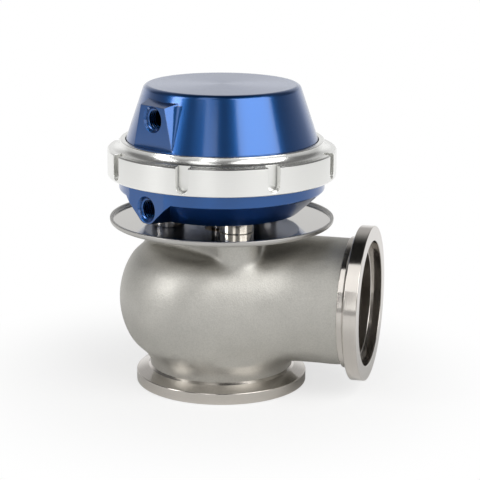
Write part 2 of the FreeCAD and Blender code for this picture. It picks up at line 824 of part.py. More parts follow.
def make_body_screws():
    """Three socket-head screws, one node."""
    low = size("screw_bottom")
    under_head = size("screw_counterbore_floor") + size("washer_thickness")
    head, shank = size("screw_head_radius"), size("screw_radius")
    top = under_head + size("screw_head_height")
    screws = []
    for number, angle in enumerate(BOSS_ANGLES, start=1):
        x, y = on_boss_circle(angle)
        screw = new_body(f"body_screw_{number}")
        turn(screw, [
            (0, low),
            (shank - 0.5, low),
            (shank, low + 0.5),
            (shank, under_head),
            (head, under_head),
            (head, top - 0.4),
            (head - 0.4, top),
            (0, top),
        ])
        sketch = new_sketch(screw, FLAT, (ZERO, ZERO, top))
        draw_outline(sketch, hexagon(size("screw_socket_flats")))
        push(screw, sketch, size("screw_socket_depth"), True)
        screw.setExpression("Placement.Base.x", x.text)
        screw.setExpression("Placement.Base.y", y.text)
        screws.append(screw)
    group = doc.addObject("Part::Compound", "body_screws")
    group.Label = "body_screws"
    group.Links = screws
    return group


def make_lower_housing():
    """The actuator's lower half: a bowl with a hub, two port bosses and a male thread's land."""
    body = new_body("lower_housing")
    under, band = size("housing_underside"), size("housing_band_radius")
    thread, top = size("housing_thread_radius"), size("housing_top")
    turn(body, [
        (0, under),
        (size("housing_underside_radius") - 0.4, under),
        (size("housing_underside_radius"), under + 0.2),
        (band, size("housing_band_bottom")),
        (band, size("housing_band_top") - 0.4),
        (band - 0.4, size("housing_band_top")),
        (thread - 0.6, size("housing_band_top")),
        (thread - 0.6, size("housing_band_top") + 0.8),
        (thread, size("housing_band_top") + 1.4),
        (thread, top - 0.5),
        (thread - 0.5, top),
        (0, top),
    ])
    # A port boss at the front and one at the back, trimmed to the band, with its face cut flat.
    face, height = size("housing_port_face"), size("housing_port_height")
    boss, wide = size("housing_port_boss_radius"), size("housing_boss_half_width")
    high = size("housing_band_bottom") + 0.5
    side, rise = math.cos(math.radians(40)), math.sin(math.radians(40))
    for angle in (SIZES["port_angle"], SIZES["port_angle"] + FAR_PORT_TURN):
        away = math.radians(angle)
        sketch = new_sketch(body, turned_to(angle, ACROSS), (face * math.cos(away), face * math.sin(away), ZERO))
        draw_outline(sketch, [
            (0, height - boss, (boss, True)),
            (boss * side, height - boss * rise, (boss, True)),
            (wide, high),
            (wide, high + 1),
            (-wide, high + 1),
            (-wide, high),
            (-boss * side, height - boss * rise),
        ])
        block = push(body, sketch, face * 0.3, False, True)
        block.TaperAngle = SIZES["housing_boss_flare"]
        block.setExpression("TaperAngle", size("housing_boss_flare").text)
    far = band + 8
    turn(body, [(band, under - 5), (far, under - 5), (far, size("housing_band_top")), (band, size("housing_band_top"))], True)
    turn(body, [(0, under - 5), (far, under - 5), (far, under), (0, under)], True)
    for angle in (SIZES["port_angle"], SIZES["port_angle"] + FAR_PORT_TURN):
        away = math.radians(angle)
        sketch = new_sketch(body, turned_to(angle, ACROSS), (band * math.cos(away), band * math.sin(away), ZERO))
        low, top_edge = under - 2, size("housing_band_top")
        draw_outline(sketch, [(-wide, low), (wide, low), (wide, top_edge), (-wide, top_edge)])
        push(body, sketch, band - face, True)
    # The chamber round its central hub.
    hub, hub_top = size("housing_hub_radius"), size("housing_hub_top")
    turn(body, [
        (0, hub_top),
        (hub - 0.5, hub_top),
        (hub, hub_top - 0.5),
        (hub, size("housing_floor")),
        (size("housing_floor_radius"), size("housing_floor")),
        (size("housing_bore_radius"), size("housing_bore_start")),
        (size("housing_bore_radius"), top - 0.5),
        (size("housing_bore_radius") + 0.5, top),
        (size("housing_bore_radius") + 0.5, top + 1),
        (0, top + 1),
    ], True)
    # The stepped bore for bush, seal and clip.
    bush, seal, clip = size("bush_radius"), size("seal_radius"), size("clip_radius")
    clip_top = size("seal_top") + size("clip_thickness")
    turn(body, [
        (0, under - 1),
        (bush, under - 1),
        (bush, size("bush_top")),
        (seal, size("bush_top")),
        (seal, size("seal_top")),
        (clip, size("seal_top")),
        (clip, clip_top),
        (seal, clip_top),
        (seal, hub_top + 1),
        (0, hub_top + 1),
    ], True)
    boss_holes(body, size("screw_radius") + size("screw_clearance"), under - 1, size("housing_floor") - under + 2)
    floor = size("screw_counterbore_floor")
    boss_holes(body, size("screw_counterbore_radius"), floor, size("housing_floor") - floor + 1)
    for angle in (SIZES["port_angle"], SIZES["port_angle"] + FAR_PORT_TURN):
        port_cut(body, angle, size("housing_port_height"), face, size("housing_port_end"))
    return body


def make_stem_bush():
    """The bronze bush pressed in the housing's floor."""
    inner = size("stem_radius") + size("bush_clearance")
    return make_sleeve("stem_bush", inner, size("bush_radius"), size("bush_bottom"), size("bush_top"), 0.3)


def make_stem_seal():
    """The lip seal above the bush, hollow between its lips."""
    body = new_body("stem_seal")
    inner, outer = size("stem_radius") + size("bush_clearance") * 0.5, size("seal_radius")
    low, high = size("bush_top"), size("seal_top")
    turn(body, [
        (inner + 0.3, low),
        (outer, low),
        (outer, high),
        (inner + 2.2, high),
        (inner + 1.3, low + 1),
        (inner + 0.9, low + 1),
        (inner + 0.6, high),
        (inner, high - 0.2),
        (inner, high - 0.9),
        (inner + 0.3, high - 1.4),
    ])
    return body


def make_seal_clip():
    """The retaining ring, open at one side."""
    body = new_body("seal_clip")
    low, thick = size("seal_top"), size("clip_thickness")
    turn(body, [
        (size("clip_bore_radius"), low),
        (size("clip_radius"), low),
        (size("clip_radius"), low + thick),
        (size("clip_bore_radius"), low + thick),
    ])
    sketch = new_sketch(body, FLAT, (ZERO, ZERO, low + thick))
    far = size("clip_radius") + 1
    gap = thick * 1.5
    draw_outline(sketch, [(ZERO + 1, -gap), (far, -gap), (far, gap), (ZERO + 1, gap)])
    push(body, sketch, thick * 2, True)
    return body


def make_housing_plug():
    """The socket plug in the far lower port."""
    body = new_body("housing_plug")
    angle = SIZES["port_angle"] + FAR_PORT_TURN
    face = size("housing_port_face") - size("plug_inset")
    back, bore = face - size("plug_length"), size("port_bore_radius")
    height, edge = size("housing_port_height"), size("plug_chamfer_width")
    turn(body, [
        (back, 0),
        (back, bore - edge),
        (back + edge, bore),
        (face - edge, bore),
        (face, bore - edge),
        (face, 0),
    ], False, turned_to(angle, UPRIGHT), (ZERO, ZERO, height), "H_Axis")
    away = math.radians(angle)
    place = (face * math.cos(away), face * math.sin(away), height)
    sketch = new_sketch(body, turned_to(angle, ACROSS), place)
    draw_outline(sketch, hexagon(size("plug_socket_flats")))
    push(body, sketch, size("plug_socket_depth"), True)
    return body


def make_diaphragm():
    """The moulded diaphragm: clamped rim, rolled ring, flat centre."""
    body = new_body("diaphragm")
    thick, rim = size("diaphragm_thickness"), size("diaphragm_rim")
    centre, top = size("diaphragm_centre"), size("housing_top")
    inner = size("piston_radius") + 0.1
    outer = size("housing_bore_radius") - 0.1
    hole = size("stem_thread_radius")
    middle = (inner + outer) / 2
    wide = (outer - inner) / 2
    narrow = wide - thick
    foot = top + rim + 1
    turn(body, [
        (hole, centre),
        (inner + thick - 1, centre),
        (inner + thick, centre + 1),
        (inner + thick, foot),
        (middle, foot + narrow, (narrow, False)),
        (outer - thick, foot, (narrow, False)),
        (outer - thick, top),
        (size("diaphragm_radius"), top),
        (size("diaphragm_radius"), top + rim),
        (outer, top + rim),
        (outer, foot),
        (middle, foot + wide, (wide, True)),
        (inner, foot, (wide, True)),
        (inner, centre + thick + 0.4),
        (inner - 0.4, centre + thick),
        (hole, centre + thick),
    ])
    return body


def make_diaphragm_washer():
    """The plate under the diaphragm."""
    body = new_body("diaphragm_washer")
    top = size("diaphragm_centre")
    low = top - size("diaphragm_washer_thickness")
    outer, hole = size("diaphragm_washer_radius"), size("stem_thread_radius")
    turn(body, [
        (hole, low),
        (outer - 1.2, low),
        (outer, low + 0.8),
        (outer, top - 0.5),
        (outer - 0.5, top),
        (hole, top),
    ])
    return body


def make_piston():
    """The spring seat above the diaphragm: floor, hub and a low wall."""
    body = new_body("piston")
    low, floor = size("piston_bottom"), size("spring_bottom")
    top, hub_top = low + size("piston_height"), size("piston_hub_top")
    outer, wall, hub = size("piston_radius"), size("piston_wall"), size("piston_hub_radius")
    turn(body, [
        (size("stem_thread_radius"), low),
        (outer - 1, low),
        (outer, low + 1),
        (outer, top - 0.4),
        (outer - 0.4, top),
        (outer - wall, top),
        (outer - wall, floor),
        (hub, floor),
        (hub, hub_top - 0.5),
        (hub - 0.5, hub_top),
        (size("stem_thread_radius"), hub_top),
    ])
    return body


def make_stem_washer():
    """The washer under the nut."""
    inner, outer = size("stem_thread_radius"), size("stem_washer_radius")
    return make_sleeve("stem_washer", inner, outer, size("piston_hub_top"), size("nut_bottom"), 0.15)


def make_stem_nut():
    """The locking nut: hexagon with a round collar on top."""
    body = new_body("stem_nut")
    low = size("nut_bottom")
    flats, high = size("nut_flats"), size("nut_height")
    hexagon_height = high * 0.7
    sketch = new_sketch(body, FLAT, (ZERO, ZERO, low))
    draw_outline(sketch, hexagon(flats))
    push(body, sketch, hexagon_height)
    collar = flats * 0.45
    turn(body, [
        (0, low + hexagon_height),
        (collar, low + hexagon_height),
        (collar, low + high - 1),
        (collar - 1, low + high),
        (0, low + high),
    ])
    bore = size("stem_thread_radius")
    turn(body, [(0, low - 1), (bore, low - 1), (bore, low + high + 1), (0, low + high + 1)], True)
    # Round off the hexagon's corners with a coned cut.
    corner, tip = flats * 0.6, flats * 0.5
    turn(body, [
        (tip, low - 0.01),
        (corner, low + flats * 0.05),
        (corner + 1, low + flats * 0.05),
        (corner + 1, low - 0.01),
    ], True)
    return body


def coil(label):
    """A coil spring with closed, ground ends, swept along a line whose pitch changes."""
    radius = SIZES[f"{label}_radius"]
    wire = SIZES[f"{label}_wire"]
    turns = SIZES[f"{label}_turns"]
    low, high = size("spring_bottom").value, size("spring_top").value
    # Three quarters of each end wire stays after grinding.
    start = low + wire * 0.25
    climb = high - wire * 0.25 - start
    end_turn = 1.0
    end_rise = wire * 1.04
    points = []
    steps = int(turns * 16)
    for step in range(steps + 1):
        turned = turns * step / steps
        if turned <= end_turn:
            rise = end_rise * turned
        elif turned >= turns - end_turn:
            rise = climb - end_rise * (turns - turned)
        else:
            share = (turned - end_turn) / (turns - 2 * end_turn)
            eased = share - 0.12 * math.sin(2 * math.pi * share)
            rise = end_rise + (climb - 2 * end_rise) * eased
        angle = 2 * math.pi * turned
        points.append(FreeCAD.Vector(radius * math.cos(angle), radius * math.sin(angle), start + rise))
    path = Part.BSplineCurve()
    path.interpolate(points)
    spine = Part.Wire([path.toShape()])
    tangent = path.tangent(path.FirstParameter)[0]
    ring = Part.Wire([Part.Circle(points[0], tangent, wire / 2).toShape()])
    swept = spine.makePipeShell([ring], True, True)
    slab = Part.makeCylinder(radius + wire, high - low, FreeCAD.Vector(0, 0, low))
    ground = swept.common(slab)
    feature = doc.addObject("Part::Feature", label)
    feature.Label = label
    feature.Shape = ground.Solids[0]
    return feature


def make_top_cap():
    """The spring cap: flange, cone, raised port boss, hollow inside."""
    body = new_body("top_cap")
    low, flange_top = size("cap_bottom"), size("cap_flange_top")
    flange = size("cap_flange_radius")
    base, base_height = size("cap_base_radius"), size("cap_base_height")
    crown, top = size("cap_top_radius"), size("cap_top")
    round_edge = size("cap_edge_round")
    # The crown's round touches the cone and the flat top. The cone leans in by this slope.
    lean = (base.value - crown.value) / (top.value - base_height.value)
    slant = math.sqrt(1 + lean ** 2)
    reach = round_edge * (slant - lean)
    turn(body, [
        (0, low),
        (flange - 0.4, low),
        (flange, low + 0.4),
        (flange, flange_top),
        (base, flange_top),
        (base, base_height),
        (crown + reach * (lean / slant), top - reach * (1 / slant)),
        (crown - reach, top, (round_edge, True)),
        (0, top),
    ])
    # The raised boss for the port, a block with a flat face.
    angle = SIZES["port_angle"]
    away = math.radians(angle)
    half, face = size("cap_boss_half_width"), size("cap_port_face")
    foot = size("cap_boss_base_half_width")
    place = (face * math.cos(away), face * math.sin(away), ZERO)
    sketch = new_sketch(body, turned_to(angle, ACROSS), place)
    boss_top = size("cap_boss_top")
    draw_outline(sketch, [(-foot, base_height), (foot, base_height), (half, boss_top), (-half, boss_top)])
    block = push(body, sketch, size("cap_boss_depth"), False, True)
    block.TaperAngle = SIZES["cap_boss_flare"]
    block.setExpression("TaperAngle", size("cap_boss_flare").text)
    # The inside, open at the bottom.
    wall = size("cap_wall")
    inner_base, inner_crown = size("housing_bore_radius"), crown - wall + 1
    inner_top = size("spring_top")
    turn(body, [
        (0, low - 1),
        (inner_base, low - 1),
        (inner_base, base_height - 1),
        (inner_crown, inner_top - 1),
        (inner_crown - 1, inner_top),
        (0, inner_top),
    ], True)
    port_cut(body, angle, size("cap_port_height"), face, size("cap_port_end"))
    return body


def make_locking_collar():
    """The ring nut with eight spanner slots."""
    body = new_body("locking_collar")
    outer, low = size("collar_radius"), size("collar_bottom")
    bore, shelf = size("collar_bore_radius"), size("cap_flange_top")
    lip, lip_top = size("collar_lip_radius"), size("cap_base_height")
    slope, slope_top = size("collar_slope_radius"), size("collar_slope_top")
    turn(body, [
        (bore + 0.5, low),
        (outer - 0.5, low),
        (outer, low + 0.5),
        (outer, size("collar_edge")),
        (outer - 0.3, size("collar_edge") + 0.2),
        (slope, slope_top),
        (lip + 0.5, lip_top, (size("collar_lip_round"), True)),
        (lip, lip_top - 0.5),
        (lip, shelf),
        (bore, shelf),
        (bore, low + 0.5),
    ])
    # One spanner slot, closed and round at its lower end, open at the top.
    angle = SIZES["slot_phase"]
    away = math.radians(angle)
    reach = outer + 3
    sketch = new_sketch(body, turned_to(angle, ACROSS), (reach * math.cos(away), reach * math.sin(away), ZERO))
    half = size("slot_width") / 2
    start, end = size("slot_bottom") + half, lip_top + 2
    draw_outline(sketch, [
        (-half, end),
        (-half, start),
        (0, start - half, (half, True)),
        (half, start, (half, True)),
        (half, end),
    ])
    slot = push(body, sketch, reach - size("slot_floor_radius"), True)
    around(body, slot, SLOT_COUNT)
    return body


MAKERS = [
    make_valve_body,
    make_seat_ring,
    make_valve,
    make_valve_guide,
    make_heat_shield,
    make_standoffs,
    make_screw_washers,
    make_body_screws,
    make_lower_housing,
    make_stem_bush,
    make_stem_seal,
    make_seal_clip,
    make_housing_plug,
    make_diaphragm,
    make_diaphragm_washer,
    make_piston,
    make_stem_washer,
    make_stem_nut,
    make_top_cap,
    make_locking_collar,
]

pieces = [make() for make in MAKERS]
pieces += [coil(label) for label in ("outer_spring", "middle_spring", "inner_spring")]
doc.recompute()

faults = []
for item in doc.Objects:
    if "Invalid" in item.State or "Error" in item.State:
        faults.append(f"{item.Name}: {item.State}")
for piece in pieces:
    if piece.Shape.isNull() or not piece.Shape.isValid():
        faults.append(f"{piece.Label}: shape not valid")
if faults:
    raise RuntimeError("; ".join(faults))

os.makedirs("parts", exist_ok=True)
for piece in pieces:
    piece.Shape.exportStep(f"parts/{piece.Label}.step")
    box = piece.Shape.BoundBox
    print(
        f"{piece.Label}: {len(piece.Shape.Solids)} solids, {piece.Shape.Volume:.1f} mm3, "
        f"x {box.XMin:.2f} {box.XMax:.2f} y {box.YMin:.2f} {box.YMax:.2f} z {box.ZMin:.2f} {box.ZMax:.2f}"
    )
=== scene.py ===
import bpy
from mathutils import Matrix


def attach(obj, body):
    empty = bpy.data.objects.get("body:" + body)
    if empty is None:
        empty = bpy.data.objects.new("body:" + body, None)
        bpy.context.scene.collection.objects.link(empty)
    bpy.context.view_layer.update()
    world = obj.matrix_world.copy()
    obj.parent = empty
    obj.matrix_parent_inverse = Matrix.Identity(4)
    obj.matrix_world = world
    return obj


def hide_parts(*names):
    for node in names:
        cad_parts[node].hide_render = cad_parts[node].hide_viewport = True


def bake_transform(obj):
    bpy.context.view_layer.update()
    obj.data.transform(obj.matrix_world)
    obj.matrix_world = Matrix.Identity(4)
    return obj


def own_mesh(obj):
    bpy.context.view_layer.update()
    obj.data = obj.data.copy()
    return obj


bl_info = {
    "name": "Wastegate dressing",
    "version": (1, 0, 0),
    "blender": (4, 5, 0),
    "location": "3D View > Sidebar > Wastegate",
    "description": "Builds the visible pieces of an external exhaust wastegate round its CAD frame",
    "category": "Object",
}

import math

import bpy
from bpy.props import FloatProperty, FloatVectorProperty, IntProperty, PointerProperty
from mathutils import Quaternion, Vector

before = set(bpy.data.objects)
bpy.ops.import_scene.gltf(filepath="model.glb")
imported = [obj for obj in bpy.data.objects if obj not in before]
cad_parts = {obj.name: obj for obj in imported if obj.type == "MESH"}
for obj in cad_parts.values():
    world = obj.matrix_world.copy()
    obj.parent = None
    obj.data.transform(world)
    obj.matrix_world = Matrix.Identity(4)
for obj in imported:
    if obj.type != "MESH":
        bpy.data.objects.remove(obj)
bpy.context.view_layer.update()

MM = 0.001
FULL_TURN = 2 * math.pi


def length(millimetres, name):
    """A length property, given in millimetres and kept in metres."""
    return FloatProperty(name=name, default=millimetres * MM, unit="LENGTH")


def hue(code, name):
    """A colour property from an sRGB hex code, kept linear as Blender keeps colours."""
    return FloatVectorProperty(name=name, default=linear(code)[:3], subtype="COLOR", size=3)


def linear(code):
    """Turn an sRGB hex code into linear red, green, blue and a full alpha."""
    parts = [int(code[place : place + 2], 16) / 255 for place in (1, 3, 5)]
    turned_linear = [part / 12.92 if part <= 0.04045 else ((part + 0.055) / 1.055) ** 2.4 for part in parts]
    return (*turned_linear, 1.0)


class WastegateSizes(bpy.types.PropertyGroup):
    """The sizes of the visible pieces."""

    inlet_flange_radius: length(31.9, "Radius of the inlet flange")
    inlet_neck_radius: length(26.6, "Radius of the neck above the inlet flange")
    seat_ring_radius: length(24.5, "Outer radius of the valve seat ring")
    seat_bore_radius: length(19.0, "Bore of the valve seat ring")
    outlet_height: length(33.6, "Height of the outlet's axis")
    outlet_flange_radius: length(28.5, "Radius of the outlet flange")
    outlet_face: length(56.7, "Distance of the outlet's face from the valve's axis")
    outlet_bore_radius: length(20.0, "Radius of the outlet's bore")
    boss_circle_radius: length(20.7, "Radius of the circle that the three screws stand on")
    boss_top: length(61.0, "Height of the bosses that carry the heat shield")
    shield_radius: length(41.4, "Outer radius of the heat shield")
    shield_rim_top: length(63.05, "Height of the heat shield's rim")
    housing_underside: length(65.7, "Height of the lower housing's underside")
    housing_underside_radius: length(28.6, "Radius of the lower housing's underside")
    housing_band_radius: length(37.9, "Radius of the lower housing's band")
    housing_band_bottom: length(74.1, "Height of the band's lower edge")
    housing_band_top: length(78.4, "Height of the band's upper edge")
    housing_top: length(84.5, "Height of the lower housing's top")
    housing_port_height: length(70.9, "Height of the lower port")
    housing_port_face: length(36.8, "Distance of the lower port's face from the axis")
    port_thread_radius: length(4.1, "Radius of the ports' threads at their roots")
    port_crest_radius: length(3.35, "Radius of the ports' threads at their crests")
    port_mouth_radius: length(4.75, "Radius of the ports' countersinks")
    port_pitch: length(0.94, "Pitch of the thread in the ports")
    ring_pitch: length(1.5, "Pitch of the ring nut's thread")
    cap_base_radius: length(35.15, "Radius of the cap at its foot")
    cap_base_height: length(92.2, "Height where the cap's cone starts")
    cap_top_radius: length(28.4, "Radius where the cap's cone would meet its top")
    cap_top: length(112.2, "Height of the cap's top")
    cap_edge_round: length(2.0, "Radius of the round at the cap's top edge")
    cap_port_height: length(102.8, "Height of the upper port")
    cap_port_face: length(33.6, "Distance of the upper port's face from the axis")
    collar_radius: length(42.0, "Outer radius of the ring nut")
    collar_bottom: length(78.9, "Height of the ring nut's lower face")
    slot_width: length(4.6, "Width of the ring nut's spanner slots")
    slot_depth: length(3.0, "Depth of the ring nut's spanner slots")
    casting_grid: length(0.62, "Grid on which the casting's skin is made")
    turning_steps: IntProperty(name="Faces round a turned piece", default=192)


class WastegateColours(bpy.types.PropertyGroup):
    """The colours of the finishes."""

    anodised: hue("#195192", "Dyed oxide of the cap and the lower housing")
    casting: hue("#C0BEB8", "Bead-blasted stainless casting")
    stainless: hue("#C6C1BB", "Turned flanges, seat ring and valve")
    sheet: hue("#D2D0CC", "Polished stainless sheet of the heat shield")
    bright: hue("#F1F1EE", "Ring nut")
    floor: hue("#F8F8F7", "Pale floor")


# The ports look this way from the valve's axis, in degrees from the outlet.
PORT_ANGLE = math.radians(-121.5)
FAR_PORT_ANGLE = PORT_ANGLE + math.radians(240)
BOSS_ANGLES = [math.radians(angle) for angle in (60, 180, 300)]
SLOT_COUNT = 8
SLOT_PHASE = math.radians(-4)
SMOOTH_ANGLE = math.radians(32)
SHARP_ANGLE = math.radians(24)
ALONG_X = (0, math.radians(90), 0)

# Sizes inside, most of which two or more pieces share.
SCREW_HOLE = 2.8 * MM
CHAMBER_RADIUS = 31.5 * MM
DIAPHRAGM_TOP = 86 * MM
LIP_UNDERSIDE = 89 * MM
CAP_ROOF = 108.6 * MM
RING_THREAD_START = 79.9 * MM
RING_THREAD_TURNS = 2

# Corners nearer to each other than this, in metres, are one corner.
SAME_PLACE = 1e-7


def sizes():
    """The sizes that the user can change."""
    return bpy.context.scene.wastegate_sizes


def colours():
    """The colours that the user can change."""
    return bpy.context.scene.wastegate_colours


def boss_spots():
    """Where the three screws stand."""
    radius = sizes().boss_circle_radius
    return [(radius * math.cos(angle), radius * math.sin(angle), 0) for angle in BOSS_ANGLES]


# Modelling


def deselect_all():
    """Leave edit mode and select nothing."""
    active = bpy.context.view_layer.objects.active
    if active is not None and active.mode != "OBJECT":
        bpy.ops.object.mode_set(mode="OBJECT")
    bpy.ops.object.select_all(action="DESELECT")


def take(piece):
    """Make one piece the selected and active one."""
    deselect_all()
    bpy.context.view_layer.objects.active = piece
    piece.select_set(True)


def pick(piece, kind, chosen):
    """Select the vertices, edges or faces that are chosen by place, in edit mode."""
    take(piece)
    bpy.ops.object.mode_set(mode="EDIT")
    bpy.ops.mesh.select_mode(type=kind)
    bpy.ops.mesh.select_all(action="DESELECT")
    bpy.ops.object.mode_set(mode="OBJECT")
    mesh = piece.data
    items = {"VERT": mesh.vertices, "EDGE": mesh.edges, "FACE": mesh.polygons}[kind]
    for item in items:
        item.select = bool(chosen(item))
    bpy.ops.object.mode_set(mode="EDIT")


def draw_face(name, points):
    """A new flat face with these corners, in edit mode and selected."""
    deselect_all()
    bpy.ops.mesh.primitive_plane_add(size=MM)
    piece = bpy.context.object
    piece.name = name
    piece.data.name = name
    bpy.ops.object.mode_set(mode="EDIT")
    bpy.ops.mesh.select_mode(type="VERT")
    bpy.ops.mesh.select_all(action="SELECT")
    bpy.ops.mesh.merge(type="CENTER")
    bpy.ops.transform.translate(value=points[0])
    for before, after in zip(points, points[1:]):
        bpy.ops.mesh.extrude_region_move(TRANSFORM_OT_translate={"value": after - before})
    ends = (points[0], points[-1])
    pick(piece, "VERT", lambda vertex: min((vertex.co - end).length for end in ends) < SAME_PLACE)
    bpy.ops.mesh.edge_face_add()
    bpy.ops.mesh.select_all(action="SELECT")
    bpy.ops.mesh.edge_face_add()
    return piece


def round_corner(piece, corner, before, after, radius):
    """Round one corner of a flat face with an arc of this radius, in steps of about 10 degrees."""
    towards = (before - corner).normalized()
    onwards = (after - corner).normalized()
    half = towards.angle(onwards) / 2
    turned_by = math.pi - 2 * half
    segments = max(2, min(12, round(turned_by / math.radians(10))))
    pick(piece, "VERT", lambda vertex: (vertex.co - corner).length < SAME_PLACE)
    bpy.ops.mesh.bevel(
        offset_type="OFFSET", offset=radius / math.tan(half), segments=segments, affect="VERTICES"
    )


def close_up(piece):
    """Merge doubles and turn all faces outwards."""
    bpy.ops.mesh.select_all(action="SELECT")
    bpy.ops.mesh.remove_doubles(threshold=0.002 * MM)
    bpy.ops.mesh.normals_make_consistent(inside=False)
    bpy.ops.object.mode_set(mode="OBJECT")
    return piece


def turned(name, corners):
    """A solid turned about the Z axis. A corner is a radius, a height and, if it is rounded, that radius."""
    points = [Vector((corner[0], 0, corner[1])) for corner in corners]
    piece = draw_face(name, points)
    for index, corner in enumerate(corners):
        if len(corner) > 2:
            following = points[(index + 1) % len(points)]
            round_corner(piece, points[index], points[index - 1], following, corner[2])
    bpy.ops.mesh.select_all(action="SELECT")
    bpy.ops.mesh.delete(type="ONLY_FACE")
    vertices = piece.data.vertices
    pick(piece, "EDGE", lambda edge: max(abs(vertices[end].co.x) for end in edge.vertices) < SAME_PLACE)
    bpy.ops.mesh.delete(type="EDGE")
    bpy.ops.mesh.select_all(action="SELECT")
    steps = sizes().turning_steps
    bpy.ops.mesh.spin(steps=steps, angle=FULL_TURN, center=(0, 0, 0), axis=(0, 0, 1))
    return close_up(piece)


def pushed(name, points, travel, growth=1.0, growth_centre=(0, 0, 0)):
    """A solid pushed from a flat face along a way, its far face grown by a factor."""
    piece = draw_face(name, points)
    bpy.ops.mesh.extrude_region_move(TRANSFORM_OT_translate={"value": travel})
    if growth != 1.0:
        centre = Vector(growth_centre) + Vector(travel)
        bpy.ops.transform.resize(value=(growth, growth, growth), center_override=centre)
    return close_up(piece)


def plate(x, low, low_half, high, high_half):
    """The corners of an upright plate at x, from its two heights and its half widths there."""
    places = ((-low_half, low), (low_half, low), (high_half, high), (-high_half, high))
    return [Vector((x, y, z)) for y, z in places]


def arc(x, height, radius, first, last, steps):
    """Points on an arc round a height in the plane at x, between two angles in degrees."""
    angles = [math.radians(first + (last - first) * step / steps) for step in range(steps + 1)]
    return [Vector((x, radius * math.cos(angle), height + radius * math.sin(angle))) for angle in angles]


def cove_strip(name, corner, rise, one_side, other_side, radius, growth, hand):
    """A strip with a hollow face that rounds an inner corner, on either hand, and grows as it rises."""
    steps, drawn_in, rooted = 8, 0.03, 0.6
    half = one_side.angle(other_side) / 2
    outwards = (one_side + other_side).normalized()
    # The hollow's centre is drawn in by a trace, so that the strip's edges lie just under both faces.
    centre = corner + outwards * radius * (1 / math.sin(half) - drawn_in)
    sweep = math.pi - 2 * half
    toward_corner = math.atan2(-outwards.y, -outwards.x)
    turning = math.copysign(1, one_side.cross(other_side).z)
    points = [corner - outwards * rooted * radius]
    for step in range(steps + 1):
        angle = toward_corner - turning * sweep * (0.5 - step / steps)
        points.append(centre + radius * Vector((math.cos(angle), math.sin(angle), 0)))
    mirrored = Vector((1, hand, 1))
    points = [point * mirrored for point in points]
    return pushed(name, points, rise * mirrored, growth, corner * mirrored)


def settle(piece, turns=(0, 0, 0), at=(0, 0, 0)):
    """Turn and move a mesh, and leave its object at the origin."""
    take(piece)
    piece.rotation_euler = turns
    piece.location = at
    bpy.ops.object.transform_apply(location=True, rotation=True, scale=True)
    return piece


def copy_of(piece, turns):
    """A turned copy with its own mesh."""
    take(piece)
    bpy.ops.object.duplicate()
    return settle(bpy.context.object, turns)


def joined(pieces):
    """Join pieces into the first one."""
    take(pieces[0])
    for piece in pieces[1:]:
        piece.select_set(True)
    bpy.ops.object.join()
    return pieces[0]


def combine(piece, tool, operation):
    """Cut a tool out of a piece, add it, or keep what both share."""
    take(piece)
    modifier = piece.modifiers.new("combine", "BOOLEAN")
    modifier.operation = operation
    modifier.solver = "EXACT"
    modifier.object = tool
    bpy.ops.object.modifier_apply(modifier=modifier.name)
    bpy.data.objects.remove(tool)
    return piece


def break_edges(piece, chosen, width):
    """Bevel the sharp edges whose middle is chosen by place."""
    take(piece)
    bpy.ops.object.mode_set(mode="EDIT")
    bpy.ops.mesh.select_mode(type="EDGE")
    bpy.ops.mesh.select_all(action="DESELECT")
    bpy.ops.mesh.edges_select_sharp(sharpness=SHARP_ANGLE)
    bpy.ops.object.mode_set(mode="OBJECT")
    vertices = piece.data.vertices
    for edge in piece.data.edges:
        if edge.select:
            middle = (vertices[edge.vertices[0]].co + vertices[edge.vertices[1]].co) / 2
            edge.select = bool(chosen(middle))
    bpy.ops.object.mode_set(mode="EDIT")
    bpy.ops.mesh.bevel(offset=width, segments=2, affect="EDGES", clamp_overlap=True)
    bpy.ops.object.mode_set(mode="OBJECT")


def thread_ridge(name, radius, reach, pitch, start, turns):
    """A helical ridge rooted in a cylinder. It points inwards where its reach is below 0."""
    root = radius - reach * 0.15
    crest = radius + reach
    half = pitch * 0.46
    flat = pitch * 0.07
    points = [
        Vector((root, 0, start - half)),
        Vector((crest, 0, start - flat)),
        Vector((crest, 0, start + flat)),
        Vector((root, 0, start + half)),
    ]
    piece = draw_face(name, points)
    bpy.ops.mesh.select_all(action="SELECT")
    bpy.ops.mesh.delete(type="ONLY_FACE")
    bpy.ops.object.mode_set(mode="OBJECT")
    modifier = piece.modifiers.new("thread", "SCREW")
    modifier.axis = "Z"
    modifier.steps = modifier.render_steps = 96
    modifier.screw_offset = pitch
    modifier.iterations = turns
    modifier.use_merge_vertices = True
    modifier.merge_threshold = 0.001 * MM
    bpy.ops.object.modifier_apply(modifier=modifier.name)
    bpy.ops.object.mode_set(mode="EDIT")
    bpy.ops.mesh.select_all(action="SELECT")
    bpy.ops.mesh.fill_holes(sides=8)
    return close_up(piece)


def finish_piece(piece, body, slot, materials, *nodes, smooth=SMOOTH_ANGLE):
    """Smooth a finished piece, give it its materials and let it ride on its body."""
    take(piece)
    bpy.ops.object.shade_smooth_by_angle(angle=smooth)
    modifier = piece.modifiers.new("even normals", "WEIGHTED_NORMAL")
    modifier.keep_sharp = True
    bpy.ops.object.modifier_apply(modifier=modifier.name)
    piece.data.materials.clear()
    for material in materials:
        piece.data.materials.append(material)
    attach(piece, body)
    if nodes:
        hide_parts(*nodes)


def paint(piece, index, chosen):
    """Give the faces chosen by their middle and normal another material of the piece."""
    for face in piece.data.polygons:
        if chosen(face.center, face.normal):
            face.material_index = index


# Materials


